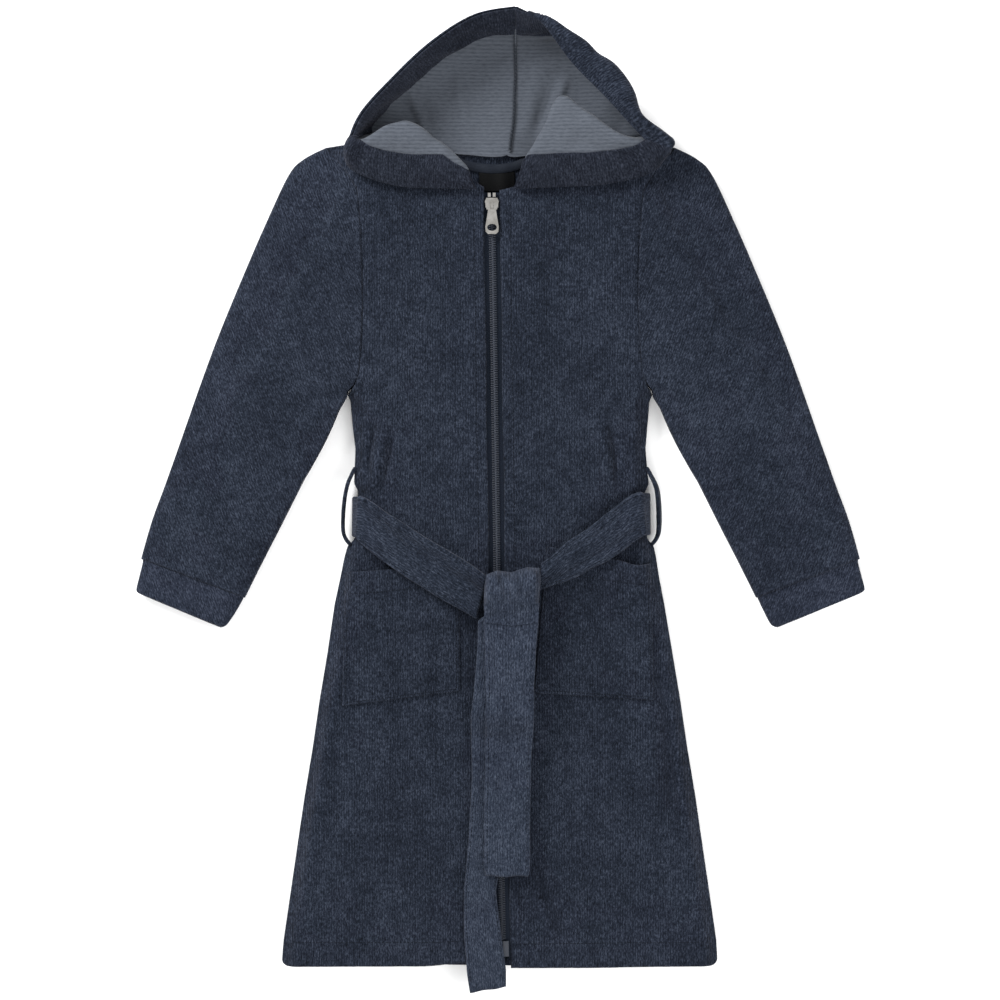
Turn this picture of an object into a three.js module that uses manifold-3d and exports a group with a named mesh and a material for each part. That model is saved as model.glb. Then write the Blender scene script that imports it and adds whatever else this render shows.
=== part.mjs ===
// Child's hooded bathrobe, lying flat on its back, front up.
// Units are millimetres. +X is the wearer's left, +Y runs from hem to hood, +Z points up off the floor.
import * as THREE from 'three';
import Module from 'manifold-3d';
import { mergeVertices, mergeGeometries } from 'three/addons/utils/BufferGeometryUtils.js';

const wasm = await Module();
wasm.setup();

// ---- driving dimensions -------------------------------------------------
const TERRY = 3.5;            // thickness of the terry body fabric
const FRONT_Z = 18;           // underside of the front panels
const SEAM_BACK_Z = 6.65;     // middle of the back panel's edge at the side seam
const SEAM_FRONT_Z = 10.6;    // middle of the front panel's edge at the side seam
const SEAM_ROLL = 14;         // how far in from a seam the panels roll together
const BELT_WIDTH = 44;        // tied belt
const BELT_THICK = 4.2;
const BELT_Y = [-34, 10];     // band of the back that the belt passes under
const BELT_RISE = 3.9;        // how far the back lifts over it
const ZIP_TOP_Y = 263, ZIP_BOTTOM_Y = -388;
const ZIP_TOP_X = -7.1, ZIP_LEAN = 0.0141; // the zip leans a little toward the wearer's left on the way down
const ZIP_OPEN = 9;           // distance from the zip's middle to each front edge
const TAPE_Z = [16.2, 17.5], TAPE_W = 14, SLIT = 0.6;
const COIL_Z = [17.8, 20.2], COIL_W = 3.3;
const HOOD_OUT = 2.2;         // hood terry, measured outward from the table below
const LINING = [0.4, 1.6];    // lining, measured inward from it
const KNOT_PIVOT = [10, -94]; // both belt tails swing about this point
const TAIL_R = 20.2;          // radius of the tails' rounded tops under the knot
const NECK_POINT = 68;        // half width of the neck opening
const CENTRE = [-0.4, -1.4];  // puts the middle of the whole robe at the origin

// side seams from hem to shoulder: [height, wearer's right edge, wearer's left edge]
const SIDE = [
  [-394.8, -186.2, 185.3],
  [-390.6, -185.8, 185.3],
  [-374.4, -184.5, 184.4],
  [-333.6, -178.5, 178.5],
  [-292.8, -172.6, 172.5],
  [-252.0, -166.6, 166.6],
  [-211.2, -159.8, 159.8],
  [-170.4, -153.9, 153.8],
  [-129.6, -147.1, 147.0],
  [-88.8, -141.1, 140.2],
  [-65.0, -136.0, 135.6],
  [-48.0, -132.6, 133.0],
  [-33.6, -128.4, 130.0],
  [-14.0, -126.2, 128.3],
  [9.8, -124.5, 127.5],
  [23.4, -124.1, 125.8],
  [43.8, -123.3, 124.1],
  [64.2, -125.8, 125.8],
  [84.6, -127.5, 127.5],
  [90.1, -130.1, 130.0],
  [98.2, -123.3, 124.9],
  [110.9, -120.7, 121.5],
  [132.2, -119.0, 119.8],
  [170.4, -117.3, 118.1],
  [229.9, -119.0, 119.8],
  [263.9, -121.6, 122.4],
  [280.9, -131.8, 132.6],
  [291.1, -140.3, 141.9],
  [297.9, -148.8, 149.6],
];
// hood halves
const HOOD_R = [
  [[-21.3, 265.6, 24.6], [-23.0, 268.2, 27.5], [-24.7, 271.6, 29], [-26.4, 275.0, 29], [-28.1, 277.5, 27.8], [-28.9, 279.2, 26], [-29.8, 280.1, 24.4]],
  [[-51.0, 265.6, 25], [-52.7, 269.0, 29], [-53.6, 274.1, 31.5], [-53.6, 280.1, 32], [-51.9, 285.2, 30], [-50.2, 289.4, 27.2], [-48.5, 292.0, 24.6]],
  [[-83.3, 267.3, 25.5], [-85.9, 271.6, 30.5], [-85.9, 278.4, 34], [-81.6, 286.0, 34.5], [-73.1, 292.0, 31.5], [-62.9, 295.8, 26], [-54.4, 297.9, 19]],
  [[-113.9, 275.8, 26], [-117.3, 281.8, 32], [-114.8, 289.4, 36], [-103.7, 296.2, 36.5], [-85.0, 300.9, 32], [-66.3, 301.8, 22], [-51.9, 298.3, 12]],
  [[-127.5, 292.0, 28], [-130.1, 297.9, 35], [-127.5, 303.9, 38], [-117.3, 308.1, 30], [-97.8, 309.8, 16], [-69.7, 306.4, 8], [-45.1, 297.5, 6.8]],
  [[-117.3, 322.6, 42], [-124.1, 324.3, 46], [-125.8, 323.4, 36], [-122.4, 321.7, 18], [-108.8, 319.2, 5], [-72.3, 309.8, 3.5], [-29.8, 294.9, 6.6]],
  [[-86.7, 354.0, 46], [-94.4, 359.1, 50], [-96.9, 358.3, 38], [-92.7, 354.0, 16], [-81.6, 347.2, 3], [-46.8, 321.7, 2.6], [-1.3, 296.2, 6.4]],
  [[-53.6, 384.6, 47], [-60.4, 390.6, 50], [-62.1, 389.7, 38], [-58.7, 383.8, 16], [-50.2, 374.4, 2.6], [-25.5, 348.9, 2.4], [7.6, 320.0, 2.8]],
  [[-18.7, 404.2, 46], [-23.0, 413.5, 49], [-23.8, 414.4, 36], [-22.1, 408.4, 14], [-17.9, 395.7, 2.5], [-6.8, 372.7, 2.4], [10.2, 340.4, 2.4]],
  [[12.5, 408.4, 46], [12.5, 417.3, 49], [12.5, 417.8, 36], [12.5, 412.7, 14], [12.5, 398.2, 2.5], [12.3, 381.2, 2.4], [12.1, 360.8, 2.4]],
];
const HOOD_L = [
  [[11.0, 265.6, 24.6], [12.7, 268.2, 27.5], [14.4, 271.6, 29], [16.1, 275.0, 29], [17.8, 277.5, 27.8], [18.7, 279.2, 26], [19.5, 280.1, 24.4]],
  [[51.0, 266.9, 25], [52.7, 269.9, 29], [53.5, 275.0, 31.5], [53.5, 280.9, 32], [51.8, 286.0, 30], [50.1, 289.4, 27.2], [48.4, 292.0, 24.6]],
  [[86.7, 269.4, 25.5], [89.2, 274.1, 30.5], [89.2, 280.9, 34], [85.0, 287.7, 34.5], [76.5, 292.8, 31.5], [65.4, 295.8, 26], [56.1, 297.9, 19]],
  [[119.0, 276.7, 26], [124.1, 283.5, 32], [123.2, 291.1, 36], [110.5, 297.1, 36.5], [90.1, 300.9, 32], [68.0, 301.8, 22], [53.5, 298.3, 12]],
  [[136.0, 289.4, 28], [148.7, 300.5, 33], [142.8, 305.6, 36], [127.5, 308.1, 30], [99.4, 309.8, 16], [70.5, 306.4, 8], [46.7, 297.5, 6.8]],
  [[125.8, 311.5, 42], [130.0, 320.0, 46], [127.5, 323.4, 36], [124.1, 321.7, 18], [110.5, 319.2, 5], [73.1, 309.8, 3.5], [30.6, 294.9, 6.6]],
  [[85.0, 347.2, 46], [103.7, 354.0, 50], [108.8, 354.0, 38], [103.7, 348.9, 16], [88.4, 342.1, 3], [49.3, 321.7, 2.6], [3.8, 296.2, 6.4]],
  [[59.5, 374.4, 47], [78.2, 382.9, 50], [83.3, 380.4, 38], [78.2, 374.4, 16], [68.0, 365.9, 2.6], [42.5, 344.7, 2.4], [12.6, 320.0, 2.8]],
  [[38.2, 401.6, 46], [47.6, 405.9, 49], [51.0, 403.3, 36], [46.7, 397.4, 14], [40.8, 386.3, 2.5], [29.7, 365.9, 2.4], [13.4, 340.4, 2.4]],
  [[13.2, 408.4, 46], [13.2, 417.3, 49], [13.2, 417.8, 36], [13.2, 412.7, 14], [13.2, 398.2, 2.5], [13.2, 381.2, 2.4], [13.4, 360.8, 2.4]],
];
// sleeves and cuffs: pairs of points, outer edge and inner edge, from shoulder to wrist
const SL_R = [
  [[-151.3, 298.8], [-130.5, 88.0]],
  [[-177.7, 278.4], [-137.7, 75.2]],
  [[-199.8, 235.9], [-144.5, 62.5]],
  [[-216.8, 196.8], [-153.0, 45.5]],
  [[-238.0, 145.8], [-164.1, 23.4]],
  [[-253.3, 105.0], [-175.1, 1.3]],
  [[-271.2, 54.0], [-187.9, -24.2]],
  [[-285.6, 13.2], [-200.6, -48.9]],
  [[-296.7, -17.4], [-210.0, -67.6]],
  [[-306.0, -49.7], [-217.6, -82.9]],
];
const SL_L = [
  [[152.1, 298.8], [130.4, 88.0]],
  [[178.5, 278.4], [138.5, 75.2]],
  [[200.6, 235.9], [145.3, 62.5]],
  [[217.6, 196.8], [153.8, 45.5]],
  [[238.8, 145.8], [164.9, 23.4]],
  [[254.1, 105.0], [175.9, 1.3]],
  [[272.0, 54.0], [188.7, -24.2]],
  [[286.4, 13.2], [201.4, -48.9]],
  [[297.5, -17.4], [210.8, -67.6]],
  [[306.8, -49.7], [218.4, -82.9]],
];
const CF_R = [
  [[-304.8, -53.1], [-219.8, -85.1]],
  [[-307.7, -65.0], [-225.3, -94.8]],
  [[-310.3, -76.1], [-232.9, -105.8]],
  [[-307.7, -79.5], [-238.0, -108.4]],
];
const CF_L = [
  [[305.5, -53.1], [220.6, -85.1]],
  [[308.5, -65.0], [225.2, -94.8]],
  [[311.1, -75.2], [231.2, -105.8]],
  [[308.5, -78.6], [236.3, -108.4]],
];
// belt: pairs of points, one on each edge
const BF_R = [
  [[-15.7, -60.8], [-19.6, -100.7]],
  [[-26.4, -53.5], [-35.7, -91.8]],
  [[-40.8, -43.8], [-53.6, -81.2]],
  [[-58.7, -33.1], [-68.0, -72.2]],
  [[-76.5, -22.5], [-82.5, -63.3]],
  [[-91.8, -12.3], [-98.6, -51.4]],
  [[-107.1, -2.1], [-114.8, -39.5]],
];
const BF_L = [
  [[39.9, -56.5], [36.5, -73.5]],
  [[49.3, -45.0], [46.3, -71.0]],
  [[58.6, -33.6], [56.1, -68.4]],
  [[68.8, -26.8], [67.5, -62.5]],
  [[79.0, -20.0], [79.0, -56.5]],
  [[89.7, -11.5], [93.5, -48.0]],
  [[100.3, -3.0], [107.9, -39.5]],
];
const TAIL_F = [
  [[-13.6, -82.9], [34.8, -82.9]],
  [[-13.6, -97.3], [33.1, -97.3]],
  [[-12.8, -122.8], [30.6, -122.8]],
  [[-11.9, -154.3], [28.9, -154.3]],
  [[-11.9, -167.0], [28.9, -167.0]],
  [[-12.3, -182.3], [28.9, -182.3]],
  [[-12.8, -223.1], [26.3, -223.1]],
  [[-13.6, -271.6], [25.5, -271.6]],
  [[-13.6, -312.4], [25.5, -312.4]],
  [[-11.9, -318.3], [23.8, -318.3]],
];
const TAIL_B = [
  [[-15.3, -82.9], [27.2, -82.9]],
  [[-18.7, -118.6], [23.8, -118.6]],
  [[-22.1, -161.1], [20.4, -161.1]],
  [[-24.7, -182.3], [17.8, -182.3]],
  [[-24.7, -199.3], [17.0, -199.3]],
  [[-23.8, -234.2], [10.2, -234.2]],
  [[-26.4, -283.5], [4.2, -283.5]],
  [[-30.6, -331.9], [-3.4, -331.9]],
  [[-30.6, -365.1], [0.8, -365.1]],
  [[-28.1, -399.1], [5.1, -399.1]],
  [[-25.5, -417.8], [5.1, -412.7]],
];
// pocket corners: top inner, bottom inner, bottom outer, top outer
const POCK_R = [
  [-34.9, -50.6],
  [-34.0, -161.9],
  [-134.3, -174.7],
  [-130.9, -60.8],
];
const POCK_L = [
  [39.9, -38.7],
  [28.9, -163.6],
  [130.9, -169.6],
  [127.5, -52.3],
];

const lerp = (a, b, t) => a + (b - a) * t;
const smooth = (t) => { const k = Math.min(1, Math.max(0, t)); return k * k * (3 - 2 * k); };
const zipX = (y) => ZIP_TOP_X + (ZIP_TOP_Y - y) * ZIP_LEAN;
function table(rows, y, col) {
  // rows run from low y to high y
  if (y <= rows[0][0]) return rows[0][col];
  for (let i = 1; i < rows.length; i++) if (y <= rows[i][0]) {
    const t = (y - rows[i - 1][0]) / (rows[i][0] - rows[i - 1][0]);
    return lerp(rows[i - 1][col], rows[i][col], t);
  }
  return rows[rows.length - 1][col];
}

// ---- solid builders ------------------------------------------------------
function solid(verts, faces) {
  const g = new THREE.BufferGeometry();
  g.setAttribute('position', new THREE.Float32BufferAttribute(verts.flat(), 3));
  g.setIndex(faces.flat());
  let v = 0; // signed volume decides the winding
  for (const [a, b, c] of faces) {
    const A = verts[a], B = verts[b], C = verts[c];
    v += A[0] * (B[1] * C[2] - B[2] * C[1]) - A[1] * (B[0] * C[2] - B[2] * C[0]) + A[2] * (B[0] * C[1] - B[1] * C[0]);
  }
  if (v < 0) g.setIndex(faces.map(([a, b, c]) => [a, c, b]).flat());
  return g;
}
// closes two equal grids of points (lower and upper skin) into one body
function skins(lo, hi) {
  const n = lo.length, m = lo[0].length, verts = [...lo.flat(), ...hi.flat()], F = [];
  const L = (i, j) => i * m + j, H = (i, j) => n * m + i * m + j;
  for (let i = 0; i < n - 1; i++) for (let j = 0; j < m - 1; j++) {
    F.push([L(i, j), L(i + 1, j), L(i + 1, j + 1)], [L(i, j), L(i + 1, j + 1), L(i, j + 1)]);
    F.push([H(i, j), H(i + 1, j + 1), H(i + 1, j)], [H(i, j), H(i, j + 1), H(i + 1, j + 1)]);
  }
  const wall = (a, b, c, e) => F.push([a, b, c], [a, c, e]);
  for (let j = 0; j < m - 1; j++) {
    wall(L(0, j), L(0, j + 1), H(0, j + 1), H(0, j));
    wall(L(n - 1, j + 1), L(n - 1, j), H(n - 1, j), H(n - 1, j + 1));
  }
  for (let i = 0; i < n - 1; i++) {
    wall(L(i + 1, 0), L(i, 0), H(i, 0), H(i + 1, 0));
    wall(L(i, m - 1), L(i + 1, m - 1), H(i + 1, m - 1), H(i, m - 1));
  }
  return solid(verts, F);
}
const plate = (mid, t) => skins(mid.map((r) => r.map(([x, y, z]) => [x, y, z - t / 2])), mid.map((r) => r.map(([x, y, z]) => [x, y, z + t / 2])));
// offsets a curved grid along its own normals, from t0 to t1
function shell(grid, t0, t1, from = 0) {
  const n = grid.length, m = grid[0].length, V = grid.map((r) => r.map((p) => new THREE.Vector3(...p)));
  const off = (t) => V.map((r, i) => r.map((p, j) => {
    const a = V[Math.min(n - 1, i + 1)][j].clone().sub(V[Math.max(0, i - 1)][j]);
    const b = V[i][Math.min(m - 1, j + 1)].clone().sub(V[i][Math.max(0, j - 1)]);
    const q = p.clone().add(a.cross(b).normalize().multiplyScalar(t));
    return [q.x, q.y, q.z];
  }).slice(from));
  return skins(off(t0), off(t1));
}
// Catmull-Rom through a table of control points, k steps per span along rows and l per span across
function refine(tab, k, l) {
  const curve = (pts, s) => {
    const out = [], g = (i) => pts[Math.min(pts.length - 1, Math.max(0, i))];
    for (let i = 0; i < pts.length - 1; i++) for (let q = 0; q < s; q++) {
      const t = q / s, [a, b, c, e] = [g(i - 1), g(i), g(i + 1), g(i + 2)];
      out.push(b.map((_, d) => 0.5 * (2 * b[d] + (c[d] - a[d]) * t + (2 * a[d] - 5 * b[d] + 4 * c[d] - e[d]) * t * t + (3 * b[d] - a[d] - 3 * c[d] + e[d]) * t ** 3)));
    }
    out.push([...pts[pts.length - 1]]);
    return out;
  };
  const across = tab.map((r) => curve(r, l));
  const cols = across[0].map((_, j) => curve(across.map((r) => r[j]), k));
  return cols[0].map((_, i) => cols.map((c) => c[i]));
}
// a hollow tube from two stacks of closed rings
function tube(outer, inner) {
  const n = outer.length, m = outer[0].length, verts = [...outer.flat(), ...inner.flat()], F = [];
  const O = (i, j) => i * m + (j % m), I = (i, j) => n * m + i * m + (j % m);
  for (let i = 0; i < n - 1; i++) for (let j = 0; j < m; j++) {
    F.push([O(i, j), O(i, j + 1), O(i + 1, j + 1)], [O(i, j), O(i + 1, j + 1), O(i + 1, j)]);
    F.push([I(i, j), I(i + 1, j + 1), I(i, j + 1)], [I(i, j), I(i + 1, j), I(i + 1, j + 1)]);
  }
  for (let j = 0; j < m; j++) {
    F.push([O(0, j), I(0, j), I(0, j + 1)], [O(0, j), I(0, j + 1), O(0, j + 1)]);
    F.push([O(n - 1, j), O(n - 1, j + 1), I(n - 1, j + 1)], [O(n - 1, j), I(n - 1, j + 1), I(n - 1, j)]);
  }
  return solid(verts, F);
}
const box = (x0, x1, y0, y1, z0, z1) => new THREE.BoxGeometry(x1 - x0, y1 - y0, z1 - z0).translate((x0 + x1) / 2, (y0 + y1) / 2, (z0 + z1) / 2);
function toSolid(g) {
  const b = g.clone();
  b.deleteAttribute('normal'); b.deleteAttribute('uv');
  const m = mergeVertices(b, 1e-4);
  return new wasm.Manifold(new wasm.Mesh({ numProp: 3, vertProperties: new Float32Array(m.attributes.position.array), triVerts: new Uint32Array(m.index.array) }));
}
function fromSolid(s) {
  const m = s.getMesh(), g = new THREE.BufferGeometry();
  g.setAttribute('position', new THREE.BufferAttribute(new Float32Array(m.vertProperties), 3));
  g.setIndex(new THREE.BufferAttribute(new Uint32Array(m.triVerts), 1));
  return g;
}
function prism(outline, z0, z1) {
  const s = new THREE.Shape(outline.map(([x, y]) => new THREE.Vector2(x, y)));
  return new THREE.ExtrudeGeometry(s, { depth: z1 - z0, bevelEnabled: false }).translate(0, 0, z0);
}

// ---- colours -------------------------------------------------------------
const robe = new THREE.Group();
robe.name = 'bathrobe';
function add(name, geometry, color, roughness = 0.95, metalness = 0) {
  geometry.translate(CENTRE[0], CENTRE[1], 0);
  geometry.computeVertexNormals();
  const mesh = new THREE.Mesh(geometry, new THREE.MeshStandardMaterial({ color, roughness, metalness }));
  mesh.name = name;
  robe.add(mesh);
  return mesh;
}
const NAVY = 0x323944, SLEEVE = 0x333a47, CUFF = 0x363d4b, BELT = 0x2f3642, TAIL = 0x3b424f, GREY = 0x595e67, INK = 0x2a303b, BLACK = 0x0d0e11, NICKEL = 0xb9b9b6;

// ---- body panels ---------------------------------------------------------
const beltRise = (y) => BELT_RISE * (y < -12 ? smooth((y + 58) / 17) : smooth((34 - y) / 17));
function topY(x, front, side) {
  // top edge: shoulder line, then the neckline
  const a = Math.abs(x);
  if (!front) return a > NECK_POINT ? 299.5 : a > 46 ? lerp(293.2, 299.5, (a - 46) / (NECK_POINT - 46)) : 293.2;
  const pts = side < 0 ? [[16, 265], [30, 275.5], [49, 287], [60, 293.5], [NECK_POINT, 299.5]] : [[1, 264], [12, 267], [30, 275.5], [49, 287], [60, 293.5], [NECK_POINT, 299.5]];
  return a > NECK_POINT ? 299.5 : table(pts, a, 1);
}
const ROWS = [-397, -391, -374, -334, -293, -252, -211, -170, -130, -92, -58, -47, -40, -34, -12, 10, 17, 26, 36, 60, 78, 86, 89.5, 94, 100, 132, 170, 200, 232];
const UPPER = [0.3, 0.55, 0.75, 0.9, 1];
function panel(us, xa, xb, front, side) {
  const grid = [];
  const rowCount = ROWS.length + UPPER.length;
  for (let r = 0; r < rowCount; r++) {
    grid.push(us.map((u) => {
      const xt = lerp(xa(299.5), xb(260), u), top = topY(lerp(xa(299.5), xb(299.5), u), front, side);
      let y = r < ROWS.length ? ROWS[r] : lerp(232, top, UPPER[r - ROWS.length]);
      const xl = xa(y), xr = xb(y), x = lerp(xl, xr, u);
      if (r === 0) { // the hem's corners are rounded
        const e = Math.min(Math.abs(x - SIDE[0][1]), Math.abs(x - SIDE[0][2]));
        y += 5 * (1 - smooth(e / 8));
      }
      const dSide = Math.min(Math.abs(x - table(SIDE, y, 1)), Math.abs(x - table(SIDE, y, 2)));
      const cSide = (1 - smooth(dSide / SEAM_ROLL)) * (1 - smooth((y - 90) / 6));
      const cTop = Math.abs(x) > NECK_POINT - 6 ? (1 - smooth((299.5 - y) / SEAM_ROLL)) * smooth((Math.abs(x) - (NECK_POINT - 6)) / 6) : 0;
      const roll = Math.max(cSide, cTop);
      const z0 = front ? FRONT_Z + TERRY / 2 : TERRY / 2 + beltRise(y);
      return [x, y, lerp(z0, front ? SEAM_FRONT_Z : SEAM_BACK_Z, roll)];
    }));
  }
  return plate(grid, TERRY);
}
const xR = (y) => table(SIDE, y, 1), xL = (y) => table(SIDE, y, 2);
const US_BACK = [0, 0.018, 0.036, 0.06, 0.12, 0.2, 0.27, 0.31, 0.36, 0.42, 0.5, 0.58, 0.64, 0.69, 0.73, 0.8, 0.88, 0.94, 0.964, 0.982, 1];
const US_FRONT = [0, 0.04, 0.08, 0.13, 0.25, 0.4, 0.54, 0.62, 0.7, 0.78, 0.86, 0.93, 1];
// The strips that roll up or down to the side seams, and the flat skirt of the back, are pieces of their own.
// Each piece is then nearly convex, so the room for the legs between back and front stays open in collision.
const STRIP = 15, STRIP_TOP = 97, SKIRT_TOP = -59, JOIN = 0.05;
function sideRegion(side, gap) {
  const ys = [-420, ...SIDE.map((r) => r[0]).filter((y) => y < STRIP_TOP - 1), STRIP_TOP - gap];
  const e = (y) => table(SIDE, y, side < 0 ? 1 : 2);
  const inner = ys.map((y) => [e(y) - side * (STRIP - gap), y]), outer = ys.map((y) => [e(y) + side * 30, y]).reverse();
  return toSolid(prism([...inner, ...outer], -5, 60));
}
const below = (y) => toSolid(box(-300, 300, -420, y, -5, 60));
const backWhole = toSolid(panel(US_BACK, xR, xL, false, 0));
const backMiddle = backWhole.subtract(sideRegion(-1, 0)).subtract(sideRegion(1, 0));
add('back_panel', fromSolid(backMiddle.subtract(below(SKIRT_TOP))), NAVY);
add('back_skirt', fromSolid(backMiddle.intersect(below(SKIRT_TOP - JOIN))), NAVY);
add('back_side_right', fromSolid(backWhole.intersect(sideRegion(-1, JOIN))), NAVY);
add('back_side_left', fromSolid(backWhole.intersect(sideRegion(1, JOIN))), NAVY);
for (const [name, side, outer] of [['right', -1, xR], ['left', 1, xL]]) {
  const whole = toSolid(panel(US_FRONT, outer, (y) => zipX(y) + side * ZIP_OPEN, true, side));
  add('front_panel_' + name, fromSolid(whole.subtract(sideRegion(side, 0))), NAVY);
  add('front_side_' + name, fromSolid(whole.intersect(sideRegion(side, JOIN))), NAVY);
}

// ---- sleeves and cuffs ---------------------------------------------------
const ARM = SIDE.filter((r) => r[0] >= 88);
function ringAt(o, i, h, zc, inset, bulgeK, side, n = 14) {
  const pts = [];
  const at = (t) => {
    const x = lerp(o[0], i[0], t), y = lerp(o[1], i[1], t);
    if (!bulgeK) return [x, y];
    const edge = table(SIDE, Math.min(298, Math.max(90.5, y)), side < 0 ? 1 : 2) + side * 2.4;
    return [lerp(x, edge, bulgeK * Math.min(1, 8 * Math.min(t, 1 - t))), y];
  };
  const put = (t, s) => {
    const w = 1 - Math.abs(2 * t - 1) ** 4;
    const [x, y] = at(lerp(inset, 1 - inset, t));
    pts.push([x, y, zc + s * h * w ** 0.25]);
  };
  const ts = [0, 0.03, 0.08, 0.16, 0.27, 0.4, 0.5, 0.6, 0.73, 0.84, 0.92, 0.97, 1];
  for (const t of ts) put(t, 1);
  for (const t of ts.slice(1, -1).reverse()) put(t, -1);
  return pts;
}
function sleeve(tab, side, h0, h1, wall) {
  const n = tab.length, outer = [], inner = [];
  tab.forEach(([o, i], k) => {
    const h = lerp(h0, h1, k / (n - 1)), len = Math.hypot(i[0] - o[0], i[1] - o[1]);
    const bulge = n > 5 ? [1, 0.8, 0.6, 0.45, 0.3, 0.18, 0.08, 0.03, 0, 0][k] : 0;
    outer.push(ringAt(o, i, h, h0, 0, bulge, side));
    inner.push(ringAt(o, i, h - wall, h0, wall / len, bulge, side));
  });
  // the tube lies on the floor: lower each ring so that its underside is at zero
  for (const [k, r] of outer.entries()) { const dz = Math.min(...r.map((p) => p[2])); for (const p of [...r, ...inner[k]]) p[2] -= dz; }
  return tube(outer, inner);
}
add('sleeve_right', sleeve(SL_R, -1, 10.75, 9.6, TERRY), SLEEVE);
add('sleeve_left', sleeve(SL_L, 1, 10.75, 9.6, TERRY), SLEEVE);
add('cuff_right', sleeve(CF_R, -1, 8.6, 7.8, 2.8), CUFF);
add('cuff_left', sleeve(CF_L, 1, 8.6, 7.8, 2.8), CUFF);

// ---- hood ----------------------------------------------------------------
// each row of the tables runs from the rim, over the fold, down to the floor and in to the neck or centre seam
const hoodR = refine(HOOD_R, 2, 2), hoodL = refine(HOOD_L, 2, 2);
for (const g of [hoodR, hoodL]) for (const r of g) for (const p of r) p[2] = Math.max(p[2], 2.35);
const sign = (g) => { // which way is inward on this half
  const a = new THREE.Vector3(...g[13][8]).sub(new THREE.Vector3(...g[11][8])), b = new THREE.Vector3(...g[12][9]).sub(new THREE.Vector3(...g[12][7]));
  return Math.sign(a.cross(b).z);
};
const sR = sign(hoodR), sL = sign(hoodL);
add('hood_right', shell(hoodR, -HOOD_OUT * sR, 0), NAVY);
add('hood_left', shell(hoodL, -HOOD_OUT * sL, 0), NAVY);
// the lining starts inside the turned-in edge and keeps clear of the terry where the corner folds tightly
function lining(grid, s) {
  const cut = toSolid(shell(grid, LINING[0] * s, LINING[1] * s, 3)).subtract(toSolid(shell(grid, -HOOD_OUT * s, 0.3 * s)))
    .subtract(toSolid(shell(grid, -HOOD_OUT * s, 0))).subtract(toSolid(shell(grid, -HOOD_OUT * s, 0)).translate([0, 0, 0.3]));
  return fromSolid(cut.decompose().sort((a, b) => b.volume() - a.volume())[0]);
}
add('hood_lining_right', lining(hoodR, sR), GREY);
add('hood_lining_left', lining(hoodL, sL), GREY);

// neck tape over the back neck seam, and the blank label under it
const tapeLine = [[-41, 290.5], [-30, 287], [-17, 285.3], [0, 285.3], [12, 287], [21, 289.5]];
add('neck_tape', plate([-3.4, 3.4].map((w) => tapeLine.map(([x, y]) => [x, y + w, 4.6])), 1.3), INK, 0.8);
add('neck_label', box(-17.9, 12.6, 263.6, 281.2, 4.0, 5.2), BLACK, 0.6);

// ---- pockets: patches sewn on three sides, open along the top -------------
function pocket(corners) {
  const c = corners.reduce((s, p) => [s[0] + p[0] / 4, s[1] + p[1] / 4], [0, 0]);
  const inner = corners.map(([x, y], k) => [x + Math.sign(c[0] - x) * 3.4, k === 0 || k === 3 ? y + 20 : y + 3.4]);
  return fromSolid(toSolid(prism(corners, 21.9, 29.8)).subtract(toSolid(prism(inner, 21, 27))));
}
add('pocket_right', pocket(POCK_R), NAVY);
add('pocket_left', pocket(POCK_L), NAVY);

// ---- belt ----------------------------------------------------------------
// front runs: flattened tube from the knot out to the side, over the edge and down to the floor
function beltFront(tab, side) {
  const rows = [];
  const heights = [32.6, 32.6, 32.6, 32.6, 32.6, 32.6, 31.2];
  const cross = [0, 0.12, 0.5, 0.88, 1];
  tab.forEach(([a, b], k) => rows.push(cross.map((t) => [lerp(a[0], b[0], t), lerp(a[1], b[1], t), heights[k]])));
  const edge = (y) => table(SIDE, Math.min(20, Math.max(-30, y)), side < 0 ? 1 : 2);
  const wrap = [[-3, 28.2], [0.6, 23], [2.9, 17], [3.1, 11], [3.1, 5.6]];
  for (const [out, z] of wrap) rows.push(cross.map((t) => { const y = lerp(8.5, -31, t); return [edge(y) + side * out, y, z]; }));
  return shellBoth(rows, BELT_THICK);
}
function shellBoth(rows, t) { return shell(rows, -t / 2, t / 2); }
add('belt_front_right', beltFront(BF_R, -1), BELT);
add('belt_front_left', beltFront(BF_L, 1), BELT);
add('belt_back', box(-131, 133.5, -32.5, 9.5, 0, 3.2), BELT);

// knot: a rounded lump, hollowed underneath where the two tails start
const knotOutline = [[-12.9, -60], [-8, -56.6], [6, -57.5], [22, -55.5], [33.5, -58], [35.4, -70], [34, -98], [29, -106], [-6, -107], [-13.6, -102], [-14.4, -80]];
function pillow(outline, z0, z1) {
  const c = outline.reduce((s, p) => [s[0] + p[0] / outline.length, s[1] + p[1] / outline.length], [0, 0]);
  const levels = [[z0, 0.94], [z0 + 2, 1], [z1 - 7, 1], [z1 - 3, 0.93], [z1 - 0.8, 0.8], [z1, 0.6]];
  const rings = levels.map(([z, k]) => outline.map(([x, y]) => [lerp(c[0], x, k), lerp(c[1], y, k), z]));
  const m = outline.length, verts = [...rings.flat(), [c[0], c[1], z0], [c[0], c[1], z1]], F = [];
  for (let i = 0; i < rings.length - 1; i++) for (let j = 0; j < m; j++) {
    const a = i * m + j, b = i * m + (j + 1) % m;
    F.push([a, b, b + m], [a, b + m, a + m]);
  }
  const lo = verts.length - 2, hi = verts.length - 1, last = (rings.length - 1) * m;
  for (let j = 0; j < m; j++) { F.push([lo, (j + 1) % m, j], [hi, last + j, last + (j + 1) % m]); }
  return solid(verts, F);
}
const bite = new THREE.CylinderGeometry(21.6, 21.6, 18, 40).rotateX(Math.PI / 2).translate(KNOT_PIVOT[0], KNOT_PIVOT[1], 37.2);
const biteLow = box(KNOT_PIVOT[0] - 45, KNOT_PIVOT[0] + 45, -130, KNOT_PIVOT[1] + 6, 28.2, 46.2);
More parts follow.
